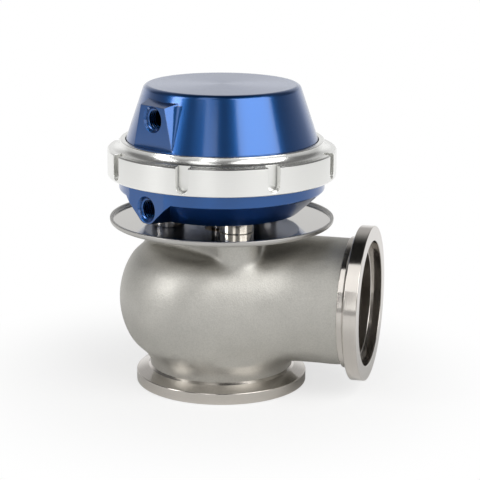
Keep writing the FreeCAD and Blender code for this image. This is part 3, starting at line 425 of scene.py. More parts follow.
def add_node(tree, kind, values=None):
    """Add a shader node. Each value sets an option or a socket's constant, or is an output to join."""
    node = tree.nodes.new("ShaderNode" + kind)
    for name, value in (values or {}).items():
        if isinstance(name, str) and name not in node.inputs:
            setattr(node, name, value)
        elif isinstance(value, bpy.types.NodeSocket):
            tree.links.new(value, node.inputs[name])
        else:
            node.inputs[name].default_value = value
    return node


def maths(tree, operation, *sources):
    """One step of arithmetic on numbers and earlier outputs."""
    return add_node(tree, "Math", {"operation": operation, **dict(enumerate(sources))}).outputs[0]


def vector_maths(tree, operation, *sources):
    """The outputs of one step of arithmetic on vectors."""
    return add_node(tree, "VectorMath", {"operation": operation, **dict(enumerate(sources))}).outputs


def mix_colours(tree, first, second, factor, blend_type="MIX"):
    """Mix or multiply two colours by a factor."""
    values = {"data_type": "RGBA", "blend_type": blend_type, 0: factor, 6: first, 7: second}
    return add_node(tree, "Mix", values).outputs[2]


def new_material(name, settings):
    """A material of this name with its shader's constants set."""
    material = bpy.data.materials.new(name)
    material.use_nodes = True
    tree = material.node_tree
    shader = tree.nodes["Principled BSDF"]
    for socket, value in settings.items():
        shader.inputs[socket].default_value = value
    return material, tree, shader


def grain(tree, millimetres, detail=2.0, roughness=0.5, stretch=(1, 1, 1)):
    """Noise whose cells are about this many millimetres across, in the piece's own place."""
    place = add_node(tree, "TexCoord").outputs["Object"]
    mapping = add_node(tree, "Mapping", {"Scale": stretch, "Vector": place}).outputs["Vector"]
    values = {"Scale": 1 / (millimetres * MM), "Detail": detail, "Roughness": roughness, "Vector": mapping}
    return add_node(tree, "TexNoise", values).outputs[0]


def spread(tree, source, low, high, from_low=0.3, from_high=0.7, shape="LINEAR"):
    """Turn a value's range into another one. The usual first range is a noise's."""
    values = {"From Min": from_low, "From Max": from_high, "To Min": low, "To Max": high, "Value": source}
    values["interpolation_type"] = shape
    return add_node(tree, "MapRange", values).outputs["Result"]


def tint(tree, colour, factor, strength):
    """Vary a colour a little, darker and lighter, by a factor from 0 to 1."""
    dark = [channel * (1 - strength) for channel in colour[:3]] + [1.0]
    light = [min(1.0, channel * (1 + strength)) for channel in colour[:3]] + [1.0]
    return mix_colours(tree, dark, light, factor)


def relief(tree, height, millimetres, normal=None):
    """Bump a surface by a height that swings over this many millimetres."""
    values = {"Strength": 1.0, "Distance": millimetres * MM, "Height": height}
    if normal is not None:
        values["Normal"] = normal
    return add_node(tree, "Bump", values).outputs["Normal"]


def dress(tree, shader, base, roughness, normal):
    """Join a finish's colour, roughness and relief to its shader."""
    for socket, source in (("Base Color", base), ("Roughness", roughness), ("Normal", normal)):
        tree.links.new(source, shader.inputs[socket])


def turning_marks(tree, millimetres, along, centre):
    """Fine lines round an axis, as a lathe tool leaves, this far apart on flat faces and cylinders alike."""
    place = add_node(tree, "TexCoord").outputs["Object"]
    shifted = vector_maths(tree, "SUBTRACT", place, centre)["Vector"]
    height = vector_maths(tree, "DOT_PRODUCT", shifted, along)["Value"]
    reach = vector_maths(tree, "LENGTH", shifted)["Value"]
    rest = maths(tree, "SUBTRACT", maths(tree, "POWER", reach, 2), maths(tree, "POWER", height, 2))
    both = add_node(tree, "CombineXYZ", {"X": maths(tree, "SQRT", rest), "Y": height}).outputs[0]
    values = {"Scale": 1 / (millimetres * MM), "Detail": 3.0, "Roughness": 0.65, "Vector": both}
    return add_node(tree, "TexNoise", values).outputs[0]


def dark_corners(tree, colour, reach, darkest):
    """Darken a colour by painted shade in inner corners, within this reach, down to the darkest shade."""
    open_sky = add_node(tree, "AmbientOcclusion", {"samples": 8, "Distance": reach})
    shade = spread(tree, open_sky.outputs["AO"], darkest, 1.0, 0.4, 0.85)
    return mix_colours(tree, colour, shade, 1.0, "MULTIPLY")


def bead_blasted_stainless():
    """Stainless casting, bead-blasted: a dull warm grey skin of small dents, patchy from the beads."""
    material, tree, shader = new_material("bead_blasted_stainless", {"Metallic": 1.0})
    patches = grain(tree, 14, 3.0)
    patchy = tint(tree, colours().casting, spread(tree, patches, 0, 1), 0.06)
    shade = spread(tree, grain(tree, 0.55, 2.0, 0.7), 0.7, 1.0, 0.35, 0.6)
    base = mix_colours(tree, patchy, shade, 0.35, "MULTIPLY")
    # The beads' dents are 0.1 to 0.3 mm, too fine to show, so they are drawn about half a millimetre across.
    dents = relief(tree, grain(tree, 0.5, 2.0, 0.6), 0.07)
    waves = relief(tree, grain(tree, 3.5, 1.0), 0.06, dents)
    dress(tree, shader, base, spread(tree, patches, 0.44, 0.52), waves)
    return material


def lathe_metal(
    name,
    colour,
    apart,
    unevenness,
    gloss,
    smear,
    lift,
    axis="Z",
    along=(0, 0, 1),
    centre=(0, 0, 0),
    corner=0,
    corner_shade=None,
    coat=None,
):
    """Metal turned on a lathe: its gleam is smeared across the tool's fine lines, in bands round the piece.

    The lines lie some millimetres apart and lift the surface by some more. The gloss is the lowest and the
    highest roughness. Corners are rounded by a radius, and the corner shade is the reach and the darkest
    tone of the painted shade in them.
    """
    settings = {"Metallic": 1.0, "Anisotropic": smear, "Anisotropic Rotation": 0.25, **(coat or {})}
    material, tree, shader = new_material(name, settings)
    marks = turning_marks(tree, apart, along, centre)
    base = tint(tree, colour, spread(tree, marks, 0, 1), unevenness)
    # Painted shade darkens the colour in inner corners.
    if corner_shade is not None:
        base = dark_corners(tree, base, *corner_shade)
    normal = None
    if corner > 0:
        normal = add_node(tree, "Bevel", {"samples": 8, "Radius": corner}).outputs[0]
    dress(tree, shader, base, spread(tree, marks, *gloss), relief(tree, marks, lift, normal))
    tangent = add_node(tree, "Tangent", {"direction_type": "RADIAL", "axis": axis})
    tree.links.new(tangent.outputs[0], shader.inputs["Tangent"])
    return material


def turned_stainless(name, along, centre, roughness=0.13, axis="Z"):
    """Bright turned stainless."""
    gloss, lie = (roughness * 0.8, roughness * 1.25), {"axis": axis, "along": along, "centre": centre}
    return lathe_metal(name, colours().stainless, 0.35, 0.04, gloss, 0.45, 0.002, **lie)


def blue_anodised(name, corner, smear=0.6, corner_shade=None):
    """Aluminium with a dyed blue oxide: the metal's gleam in blue, smeared by the turning, under a skin.
    Painted shade may darken its inner corners.
    """
    skin = {"Coat Weight": 0.75, "Coat Roughness": 0.13, "Coat IOR": 1.62}
    more = {"corner": corner, "corner_shade": corner_shade, "coat": skin}
    return lathe_metal(name, colours().anodised, 0.25, 0.03, (0.28, 0.34), smear, 0.001, **more)


def satin_aluminium():
    """Aluminium with a satin turned finish, nearly white, with faint lines round it and painted shade in its
    inner corners.
    """
    more = {"corner": 0.25 * MM, "corner_shade": (1.1 * MM, 0.25)}
    name = "satin_turned_aluminium"
    return lathe_metal(name, colours().bright, 0.3, 0.015, (0.29, 0.31), 0.5, 0.001, **more)


def polished_aluminium():
    """Aluminium polished on the lathe: nearly a mirror, with a trace of lines round it."""
    return lathe_metal("polished_aluminium", colours().bright, 0.5, 0.02, (0.22, 0.28), 0.6, 0.001)


def polished_sheet():
    """Stainless sheet polished to a mirror, with a faint haze of fine scratches."""
    material, tree, shader = new_material("polished_stainless_sheet", {"Metallic": 1.0})
    base = tint(tree, colours().sheet, grain(tree, 9, 3.0), 0.03)
    scratches = grain(tree, 0.5, 2.0, 0.6, (0.05, 1, 1))
    dress(tree, shader, base, spread(tree, scratches, 0.05, 0.11), relief(tree, scratches, 0.0015))
    return material


def speckled(name, colour, noise, unevenness, gloss, lift, specular=None):
    """A finish in one tone whose shade, roughness and height vary from cell to cell.

    It is metal unless it has a specular level. The noise is its cell in millimetres, detail and roughness.
    """
    settings = {"Metallic": 1.0} if specular is None else {"Metallic": 0.0, "Specular IOR Level": specular}
    material, tree, shader = new_material(name, settings)
    specks = grain(tree, *noise)
    base = tint(tree, colour, specks, unevenness)
    dress(tree, shader, base, spread(tree, specks, *gloss), relief(tree, specks, lift))
    return material


def satin_sheet_edge():
    """The sheet's rim, brushed dull by hand."""
    colour = [channel * 0.72 for channel in colours().sheet]
    return speckled("satin_stainless_rim", colour, (0.8, 2.0), 0.06, (0.32, 0.46), 0.006)


def plain_metal(name, code, low, high, cell, lift):
    """A worked metal in one tone."""
    return speckled(name, linear(code), (cell, 3.0, 0.6), 0.08, (low, high), lift)


def moulded_rubber():
    """Moulded rubber over cloth: near black, dull, with the cloth's weave just showing."""
    return speckled("moulded_rubber", linear("#26221F"), (0.8, 1.0), 0.25, (0.55, 0.75), 0.05, 0.4)


def seal_plastic():
    """Filled PTFE: off-white, waxy."""
    return speckled("filled_ptfe", linear("#D8CFB8"), (1.2, 2.0), 0.08, (0.4, 0.55), 0.01, 0.35)


# Pieces


def node_shell(node, name):
    """A merged copy of a CAD node's mesh, in edit mode."""
    deselect_all()
    piece = bpy.data.objects.new(name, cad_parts[node].data.copy())
    bpy.context.scene.collection.objects.link(piece)
    take(piece)
    bpy.ops.mesh.customdata_custom_splitnormals_clear()
    bpy.ops.object.mode_set(mode="EDIT")
    bpy.ops.mesh.select_all(action="SELECT")
    bpy.ops.mesh.remove_doubles(threshold=0.002 * MM)
    return piece


def cut_off(place, normal):
    """Cut the mesh in edit mode by a plane and drop what lies on the normal's side."""
    bpy.ops.mesh.select_all(action="SELECT")
    bpy.ops.mesh.bisect(plane_co=place, plane_no=normal, clear_outer=True)


def stretch_end(piece, axis, value, travel):
    """Fill the open end at a plane and push it further along an axis."""
    vertices = piece.data.vertices
    near = 0.003 * MM

    def on_plane(face):
        """Whether all corners of a face lie on the plane."""
        return all(abs(vertices[corner].co[axis] - value) < near for corner in face.vertices)

    pick(piece, "FACE", on_plane)
    way = Vector((0, 0, 0))
    way[axis] = travel
    bpy.ops.mesh.extrude_region_move(TRANSFORM_OT_translate={"value": way})


def grid_skin(piece, grid):
    """Rebuild a solid's skin on an even grid."""
    take(piece)
    modifier = piece.modifiers.new("skin", "REMESH")
    modifier.mode = "VOXEL"
    modifier.voxel_size = grid
    modifier.adaptivity = 0
    bpy.ops.object.modifier_apply(modifier=modifier.name)


def soften(piece, weight, repeats):
    """Smooth a skin by a weight from 0 to 1 that depends on the place."""
    take(piece)
    group = piece.vertex_groups.new(name="blend")
    levels = {}
    for vertex in piece.data.vertices:
        levels.setdefault(round(weight(vertex.co), 2), []).append(vertex.index)
    for level, members in levels.items():
        if level > 0:
            group.add(members, level, "REPLACE")
    modifier = piece.modifiers.new("soften", "SMOOTH")
    modifier.factor = 0.5
    modifier.iterations = repeats
    modifier.vertex_group = group.name
    bpy.ops.object.modifier_apply(modifier=modifier.name)
    return group


def swell(piece, group, travel):
    """Move the skin outwards by the group's weight."""
    modifier = piece.modifiers.new("swell", "DISPLACE")
    modifier.strength = travel
    modifier.mid_level = 0
    modifier.vertex_group = group.name
    bpy.ops.object.modifier_apply(modifier=modifier.name)


def ramp(value, nought, full):
    """0 beyond one limit and 1 beyond the other, even in between. The limits are in millimetres."""
    return min(1.0, max(0.0, (value - nought * MM) / (full * MM - nought * MM)))


def window(value, low, full, ebb, high):
    """0 outside low and high, 1 from full to ebb, even in between. The limits are in millimetres."""
    return ramp(value, low, full) * ramp(value, high, ebb)


class WASTEGATE_OT_casting(bpy.types.Operator):
    """Cast body: the CAD skin with the soft blends that a casting has, hollow inside"""

    bl_idname = "wastegate.casting"
    bl_label = "Casting"

    def execute(self, context):
        size = sizes()
        neck_cut, tube_cut = 6.7 * MM, 48.4 * MM
        shell = node_shell("valve_body", "casting")
        cut_off((0, 0, neck_cut), (0, 0, -1))
        cut_off((tube_cut, 0, 0), (1, 0, 0))
        bosses = [Vector(spot).xy for spot in boss_spots()]
        guide_bore, guide_foot = 7.05 * MM, 41.9 * MM
        screw_bore, screw_foot = 2.55 * MM, 50.9 * MM

        def in_a_bore(face):
            """Whether a face lies in the guide's bore or in a screw's."""
            flat, height = face.center.xy, face.center.z
            in_guide = flat.length < guide_bore and height > guide_foot
            in_screw = height > screw_foot and min((flat - boss).length for boss in bosses) < screw_bore
            return in_guide or in_screw

        pick(shell, "FACE", in_a_bore)
        bpy.ops.mesh.delete(type="FACE")
        bpy.ops.mesh.select_all(action="SELECT")
        bpy.ops.mesh.fill_holes(sides=0)
        bpy.ops.mesh.separate(type="LOOSE")
        bpy.ops.object.mode_set(mode="OBJECT")
        found = sorted(context.selected_objects, key=lambda item: item.dimensions.x * item.dimensions.z)
        outer, cavity = found[-1], found[-2]
        for extra in found[:-2]:
            bpy.data.objects.remove(extra)
        outer.name, cavity.name = "casting", "casting_cavity"
        for solid, down, out in ((outer, 1.2 * MM, 1.3 * MM), (cavity, 3 * MM, 3 * MM)):
            stretch_end(solid, 2, neck_cut, -down)
            stretch_end(solid, 0, tube_cut, out)
            close_up(solid)
        fillet = turned("neck_fillet", [
            (20 * MM, 8 * MM),
            (26.7 * MM, 8 * MM),
            (27.1 * MM, 9.8 * MM),
            (28 * MM, 11.4 * MM),
            (29.3 * MM, 12.8 * MM),
            (31.1 * MM, 14.5 * MM),
            (20 * MM, 14.5 * MM),
        ])
        outer = joined([outer, fillet])
        # On a coarse grid the bulb flows into the tube without an edge.
        grid_skin(outer, size.casting_grid * 1.45)

        def flow_weight(place):
            """Where the bulb turns into the tube, away from the saddle, the neck and the tube's end."""
            clear = max(ramp(place.z, 47, 43), ramp(place.xy.length, 28, 33))
            return window(place.x, -18, -8, 42, 46) * clear * window(place.z, 12, 18, 52, 56)

        flow = soften(outer, flow_weight, 220)
        swell(outer, flow, 0.5 * MM)
        outer.vertex_groups.clear()
        grid_skin(outer, size.casting_grid)
        grid_skin(cavity, size.casting_grid * 1.6)

        def blend_weight(place):
            """Most at the saddle's foot and at the neck, little on the saddle's top, none at the ends."""
            ends = ramp(place.z, 7.2, 9) * ramp(place.x, 47.4, 45)
            foot = window(place.z, 49, 51.5, 56, 58.5)
            neck = ramp(place.z, 20, 15)
            top = 0.35 if place.z > 58.5 * MM else 0.55
            return ends * max(foot, neck, top)

        def tip_weight(place):
            """Where the saddle's bosses run out on the bulb."""
            return window(place.z, 44, 46.5, 50, 52) * ramp(place.x, 40, 34)

        def neck_weight(place):
            """Only where the bulb meets the neck."""
            return window(place.z, 7.4, 9.5, 17, 22)

        def cavity_weight(place):
            """All of the cavity but its two ends."""
            return ramp(place.x, 47, 44) * ramp(place.z, 8, 10)

        soften(outer, neck_weight, 70)
        soften(outer, tip_weight, 40)
        blend = soften(outer, blend_weight, 13)
        uneven = bpy.data.textures.new("cast_unevenness", "CLOUDS")
        uneven.noise_scale = 9 * MM
        uneven.noise_depth = 1
        modifier = outer.modifiers.new("unevenness", "DISPLACE")
        modifier.texture = uneven
        modifier.texture_coords = "LOCAL"
        modifier.strength = 0.16 * MM
        modifier.vertex_group = blend.name
        take(outer)
        bpy.ops.object.modifier_apply(modifier=modifier.name)
        soften(cavity, cavity_weight, 6)
        combine(outer, cavity, "DIFFERENCE")
        outer.vertex_groups.clear()
        bore_finish = turned_stainless("bored_stainless", (1, 0, 0), (0, 0, size.outlet_height), 0.3)
        finishes = [bead_blasted_stainless(), bore_finish]
        finish_piece(outer, "body", "cast_stainless", finishes, "valve_body", smooth=math.radians(60))

        def bored(centre, normal):
            """Whether a face lies in the outlet's bore."""
            across = Vector((centre.y, centre.z - size.outlet_height)).length
            return centre.x > 22 * MM and across < size.outlet_bore_radius + 0.6 * MM

        paint(outer, 1, bored)
        pads = []
        for spot in boss_spots():
            pad = turned("boss_pads", [
                (2.5 * MM, size.boss_top - 1.2 * MM),
                (7.8 * MM, size.boss_top - 1.2 * MM),
                (7.8 * MM, size.boss_top, 0.2 * MM),
                (2.5 * MM, size.boss_top),
            ])
            pads.append(settle(pad, at=spot))
        marked = plain_metal("milled_stainless_pads", "#BDB9B3", 0.25, 0.34, 0.6, 0.004)
        finish_piece(joined(pads), "body", "cast_stainless", [marked])
        return {"FINISHED"}


class WASTEGATE_OT_flanges(bpy.types.Operator):
    """Turned flanges: inlet and outlet, with their cones, rims and registers"""

    bl_idname = "wastegate.flanges"
    bl_label = "Flanges"

    def execute(self, context):
        size = sizes()
        flange, neck, ring = size.inlet_flange_radius, size.inlet_neck_radius, size.seat_ring_radius
        inlet = turned("inlet_flange", [
            (ring, 0),
            (flange, 0, 0.35 * MM),
            (flange, 4.1 * MM, 0.35 * MM),
            (neck + 0.8 * MM, 5.9 * MM, 0.25 * MM),
            (neck + 0.05 * MM, 6.7 * MM),
            (ring, 6.7 * MM),
        ])
        steel = turned_stainless("turned_stainless_inlet", (0, 0, 1), (0, 0, 0))
        finish_piece(inlet, "body", "cast_stainless", [steel])
        face, bore, rim = size.outlet_face, size.outlet_bore_radius, size.outlet_flange_radius
        outlet = turned("outlet_flange", [
            (bore, 48.5 * MM),
            (24.2 * MM, 48.6 * MM, 0.25 * MM),
            (24.2 * MM, 50.5 * MM),
            (rim, 51.9 * MM, 0.35 * MM),
            (rim, face, 0.35 * MM),
            (bore + 3 * MM, face, 0.25 * MM),
            (bore + 3 * MM, face - 3.5 * MM),
            (bore, face - 3.5 * MM, 0.3 * MM),
        ])
        centre = (0, 0, size.outlet_height)
        settle(outlet, ALONG_X, centre)
        steel = turned_stainless("turned_stainless_outlet", (1, 0, 0), centre, axis="X")
        finish_piece(outlet, "body", "cast_stainless", [steel])
        return {"FINISHED"}


class WASTEGATE_OT_valve(bpy.types.Operator):
    """Seat ring, valve and guide, as seen through the inlet and the outlet"""

    bl_idname = "wastegate.valve"
    bl_label = "Seat, valve and guide"

    def execute(self, context):
        size = sizes()
        steel = turned_stainless("ground_stainless", (0, 0, 1), (0, 0, 0), 0.16)
        bore, ring = size.seat_bore_radius, size.seat_ring_radius
        seat = turned("seat_ring", [
            (bore, 0, 0.4 * MM),
            (ring, 0, 0.4 * MM),
            (ring, 6.5 * MM),
            (bore + 1.9 * MM, 6.5 * MM),
            (bore + 1.9 * MM, 6.3 * MM),
            (bore, 4.4 * MM),
        ])
        finish_piece(seat, "body", "machined_steel", [steel], "valve_seat_ring")
        head = bore + 1.5 * MM
        valve = turned("poppet_valve", [
            (0, 5.4 * MM),
            (head - 8.5 * MM, 5.4 * MM, 0.6 * MM),
            (head - 4 * MM, 4.2 * MM, 1.0 * MM),
            (head - 2.2 * MM, 4.2 * MM, 0.5 * MM),
            (head - 1.2 * MM, 4.8 * MM),
            (head, 6.0 * MM, 0.15 * MM),
            (head, 7.5 * MM, 0.4 * MM),
            (head - 3 * MM, 8.3 * MM, 2 * MM),
            (8.2 * MM, 11.5 * MM, 6 * MM),
            (4 * MM, 21 * MM, 12 * MM),
            (4 * MM, 77.3 * MM, 0.3 * MM),
            (3 * MM, 77.3 * MM),
            (3 * MM, 93 * MM, 0.7 * MM),
            (0, 93 * MM),
        ])
        finish_piece(valve, "valve_train", "machined_steel", [steel], "valve")
        guide = turned("stem_guide", [
            (4.03 * MM, 37 * MM, 0.4 * MM),
            (7 * MM, 37 * MM, 0.6 * MM),
            (7 * MM, 60.5 * MM, 0.4 * MM),
            (4.03 * MM, 60.5 * MM, 0.3 * MM),
        ])
        # Dark bronze: partly its aged tone, partly painted shade, as the guide's top and the stem bush sit
        # in the dark gap under the housing.
        bronze = plain_metal("turned_bronze", "#6E5537", 0.3, 0.45, 0.8, 0.006)
        finish_piece(guide, "body", "bronze", [bronze], "valve_guide")
        return {"FINISHED"}


class WASTEGATE_OT_shield(bpy.types.Operator):
    """Heat shield with its turned-up rim, and the standoffs on it"""

    bl_idname = "wastegate.shield"
    bl_label = "Heat shield and standoffs"

    def execute(self, context):
        size = sizes()
        low, outer = size.boss_top, size.shield_radius
        shield = turned("shield_plate", [
            (8 * MM, low, 0.15 * MM),
            (outer, low, 1.4 * MM),
            (outer, size.shield_rim_top, 0.3 * MM),
            (outer - 1 * MM, size.shield_rim_top, 0.3 * MM),
            (outer - 1 * MM, low + 1 * MM, 0.5 * MM),
            (8 * MM, low + 1 * MM, 0.15 * MM),
        ])
        sleeves, drills = [], []
        hole, sleeve_radius, top = SCREW_HOLE, 6.2 * MM, size.housing_underside
        start, end = low - MM, low + 2 * MM
        for spot in boss_spots():
            drill = turned("drill", [(0, start), (hole, start), (hole, end), (0, end)])
            drills.append(settle(drill, at=spot))
            sleeve = turned("standoff_sleeves", [
                (hole, low + MM),
                (sleeve_radius, low + MM, 0.35 * MM),
                (sleeve_radius, top, 0.35 * MM),
                (hole, top),
            ])
            sleeves.append(settle(sleeve, at=spot))
        for drill in drills:
            combine(shield, drill, "DIFFERENCE")
        sheet = [polished_sheet(), satin_sheet_edge()]
        finish_piece(shield, "body", "polished_steel", sheet, "heat_shield")
        paint(shield, 1, lambda centre, normal: centre.xy.length > outer - 1.3 * MM)
        steel = plain_metal("turned_stainless_sleeves", "#C9C4BC", 0.12, 0.2, 0.5, 0.002)
        finish_piece(joined(sleeves), "body", "machined_steel", [steel], "standoffs")
        return {"FINISHED"}


def is_milled(centre, turned_radius, angles):
    """Whether a face by one of the ports lies off the turned skin, on the outside."""
    near_cosine, off_skin, deepest = 0.9, 0.06 * MM, 2.2 * MM
    reach, way = centre.xy.length, centre.xy.normalized()
    near = any(way.dot(Vector((math.cos(angle), math.sin(angle)))) > near_cosine for angle in angles)
    return near and abs(reach - turned_radius) > off_skin and reach > turned_radius - deepest


def port_tool(height, face, end):
    """The drill and countersink that make a port, looking along X."""
    size = sizes()
    wide, mouth = size.port_thread_radius, size.port_mouth_radius
    tool = turned("port_drill", [
        (0, end),
        (wide, end),
        (wide, face - (mouth - wide)),
        (mouth + 0.5 * MM, face + 0.5 * MM),
        (0, face + 0.5 * MM),
    ])
    return settle(tool, ALONG_X, (0, 0, height))


def port_thread(name, angle, height, face, end):
    """The taper thread's ridge in a port."""
    size = sizes()
    root, crest, pitch = size.port_thread_radius, size.port_crest_radius, size.port_pitch
    last = face - 0.2 * MM
    turns = int((last - end) / pitch)
    ridge = thread_ridge(name, root, crest - root, pitch, last - turns * pitch, turns)
    # The countersink cuts the first turns down to its cone.
    mouth, deep, out = size.port_mouth_radius, 2.5 * MM, 2 * MM
    sink = turned("countersink", [
        (0, face - deep),
        (mouth - deep, face - deep),
        (mouth + out, face + out),
        (0, face + out),
    ])
    combine(ridge, sink, "DIFFERENCE")
    settle(ridge, ALONG_X, (0, 0, height))
    return settle(ridge, (0, 0, angle))


class WASTEGATE_OT_housing(bpy.types.Operator):
    """Lower housing: the blue bowl with its two port bosses, bores and male thread"""

    bl_idname = "wastegate.housing"
    bl_label = "Lower housing"

    def execute(self, context):
        size = sizes()
        under, band = size.housing_underside, size.housing_band_radius
        low, high, top = size.housing_band_bottom, size.housing_band_top, size.housing_top
        root = band - 1.1 * MM
        housing = turned("housing_bowl", [
            (0, under),
            (size.housing_underside_radius, under, 0.5 * MM),
            (band, low, 0.7 * MM),
            (band, high, 0.4 * MM),
            (root, high),
            (root, top, 0.5 * MM),
            (0, top),
        ])
        face, height = size.housing_port_face, size.housing_port_height
        # The boss is round below and runs out in two wings under the band.
        boss, wing, wing_low = 5.4 * MM, 12.5 * MM, low + 0.5 * MM
        ears = plate(face, wing_low, wing, wing_low + MM, wing)
        outline = [ears[0], *arc(face, height, boss, -140, -40, 10), *ears[1:]]
        block = pushed("boss_block", outline, (-11 * MM, 0, 0), 1.22, (face, 0, height))
        ceiling = high - 0.2 * MM
        limit = turned("boss_limit", [(0, under), (band, under), (band, ceiling), (0, ceiling)])
        combine(block, limit, "INTERSECT")
        flat = plate(face, under - 3 * MM, 20 * MM, high, 20 * MM)
        for angle in (PORT_ANGLE, FAR_PORT_ANGLE):
            combine(housing, copy_of(block, (0, 0, angle)), "UNION")
            shave = pushed("boss_shave", flat, (6 * MM, 0, 0))
            combine(housing, settle(shave, (0, 0, angle)), "DIFFERENCE")
        bpy.data.objects.remove(block)
        chamber = turned("chamber", [
            (0, 76.2 * MM),
            (10.5 * MM, 76.2 * MM),
            (10.5 * MM, 70.2 * MM, 1 * MM),
            (27.5 * MM, 70.2 * MM, 2 * MM),
            (CHAMBER_RADIUS, 75 * MM, 3 * MM),
            (CHAMBER_RADIUS, top + MM),
            (0, top + MM),
        ])
        combine(housing, chamber, "DIFFERENCE")
        bores = turned("bores", [
            (0, under - MM),
            (6.5 * MM, under - MM),
            (6.5 * MM, 72.3 * MM),
            (8 * MM, 72.3 * MM),
            (8 * MM, 75 * MM),
            (8.6 * MM, 75 * MM),
            (8.6 * MM, 75.9 * MM),
            (8 * MM, 75.9 * MM),
            (8 * MM, 78 * MM),
            (0, 78 * MM),
        ])
        combine(housing, bores, "DIFFERENCE")
        for spot in boss_spots():
            drill = turned("screw_drill", [
                (0, under - MM),
                (SCREW_HOLE, under - MM),
                (SCREW_HOLE, 68.2 * MM),
                (5.3 * MM, 68.2 * MM),
                (5.3 * MM, 72 * MM),
                (0, 72 * MM),
            ])
            combine(housing, settle(drill, at=spot), "DIFFERENCE")
        for angle in (PORT_ANGLE, FAR_PORT_ANGLE):
            tool = settle(port_tool(height, face, 25.8 * MM), (0, 0, angle))
            combine(housing, tool, "DIFFERENCE")
        blue = blue_anodised("blue_anodised_aluminium", 0.5 * MM)
        # The threads' blue carries strong painted shade in their grooves, down to 0.12 within 1.5 mm.
        cut_blue = blue_anodised("blue_anodised_thread", 0.05 * MM, 0.0, (1.5 * MM, 0.12))
        milled_blue = blue_anodised("blue_anodised_milled", 0.4 * MM, 0.0)
        finish_piece(housing, "body", "blue_aluminium", [blue, milled_blue], "lower_housing")
        flare = (band - size.housing_underside_radius) / (low - under)

        def milled(centre, normal):
            """Whether a face was milled, not turned."""
            turned_radius = min(band, size.housing_underside_radius + (centre.z - under) * flare)
            return is_milled(centre, turned_radius, (PORT_ANGLE, FAR_PORT_ANGLE)) and centre.z < high

        paint(housing, 1, milled)
        pitch, start, turns = size.ring_pitch, RING_THREAD_START, RING_THREAD_TURNS
        male = thread_ridge("housing_thread", root, 0.7 * MM, pitch, start, turns)
        near = port_thread("housing_port_thread", PORT_ANGLE, height, face, 27.2 * MM)
        far = port_thread("far_port_thread", FAR_PORT_ANGLE, height, face, 33.4 * MM)
        for thread in (male, near, far):
            finish_piece(thread, "body", "blue_aluminium", [cut_blue])
        return {"FINISHED"}


class WASTEGATE_OT_collar(bpy.types.Operator):
    """Ring nut with a polished slope and eight spanner slots"""

    bl_idname = "wastegate.collar"
    bl_label = "Ring nut"

    def execute(self, context):
        size = sizes()
        outer, low = size.collar_radius, size.collar_bottom
        lip, lip_top, shelf = 35.35 * MM, size.cap_base_height, LIP_UNDERSIDE
        bore, collar_top = 37.55 * MM, 88.5 * MM
        collar = turned("ring_nut", [
            (bore, low, 0.5 * MM),
            (outer, low, 0.6 * MM),
            (outer, collar_top),
            (outer - 0.42 * MM, 88.9 * MM),
            (37.5 * MM, 88.95 * MM, 2.75 * MM),
            (37.5 * MM, lip_top, 0.45 * MM),
            (lip, lip_top, 0.35 * MM),
            (lip, shelf),
            (bore, shelf),
        ])
        half, start = size.slot_width / 2, low + 0.95 * MM + size.slot_width / 2
        reach, slot_end = outer - size.slot_depth, lip_top + 2 * MM
        ends = [Vector((reach, side * half, slot_end)) for side in (-1, 1)]
        outline = [ends[0], *arc(reach, start, half, 180, 360, 12), ends[1]]
        cutter = pushed("slot_cutter", outline, (8 * MM, 0, 0))
        cutters = []
        for number in range(SLOT_COUNT):
            cutters.append(copy_of(cutter, (0, 0, SLOT_PHASE + FULL_TURN * number / SLOT_COUNT)))
        bpy.data.objects.remove(cutter)
        combine(collar, joined(cutters), "DIFFERENCE")

        def at_a_mouth(place):
            """Whether an edge lies where a slot opens on the outside."""
            outside = outer - 0.25 * MM < place.xy.length < outer + MM
            return outside and low + 0.7 * MM < place.z < collar_top - 0.1 * MM

        break_edges(collar, at_a_mouth, 0.1 * MM)
        finishes = [satin_aluminium(), polished_aluminium()]
        finish_piece(collar, "collar", "bright_aluminium", finishes, "locking_collar")

        def polished(centre, normal):
            """Whether a face lies on the nut's slope or its lip."""
            outwards = centre.xy.normalized().dot(normal.xy)
            upper = centre.z > collar_top and centre.xy.length > lip + 0.1 * MM
            return upper and (outwards > 0.1 or normal.z > 0.9)

        paint(collar, 1, polished)
        # The nut's ridges run half a pitch above the housing's, so that they mesh.
        pitch, turns = size.ring_pitch, RING_THREAD_TURNS
        first = RING_THREAD_START + pitch / 2
        female = thread_ridge("ring_nut_thread", bore + 0.05 * MM, -0.3 * MM, pitch, first, turns)
        finish_piece(female, "collar", "bright_aluminium", finishes[:1])
        return {"FINISHED"}


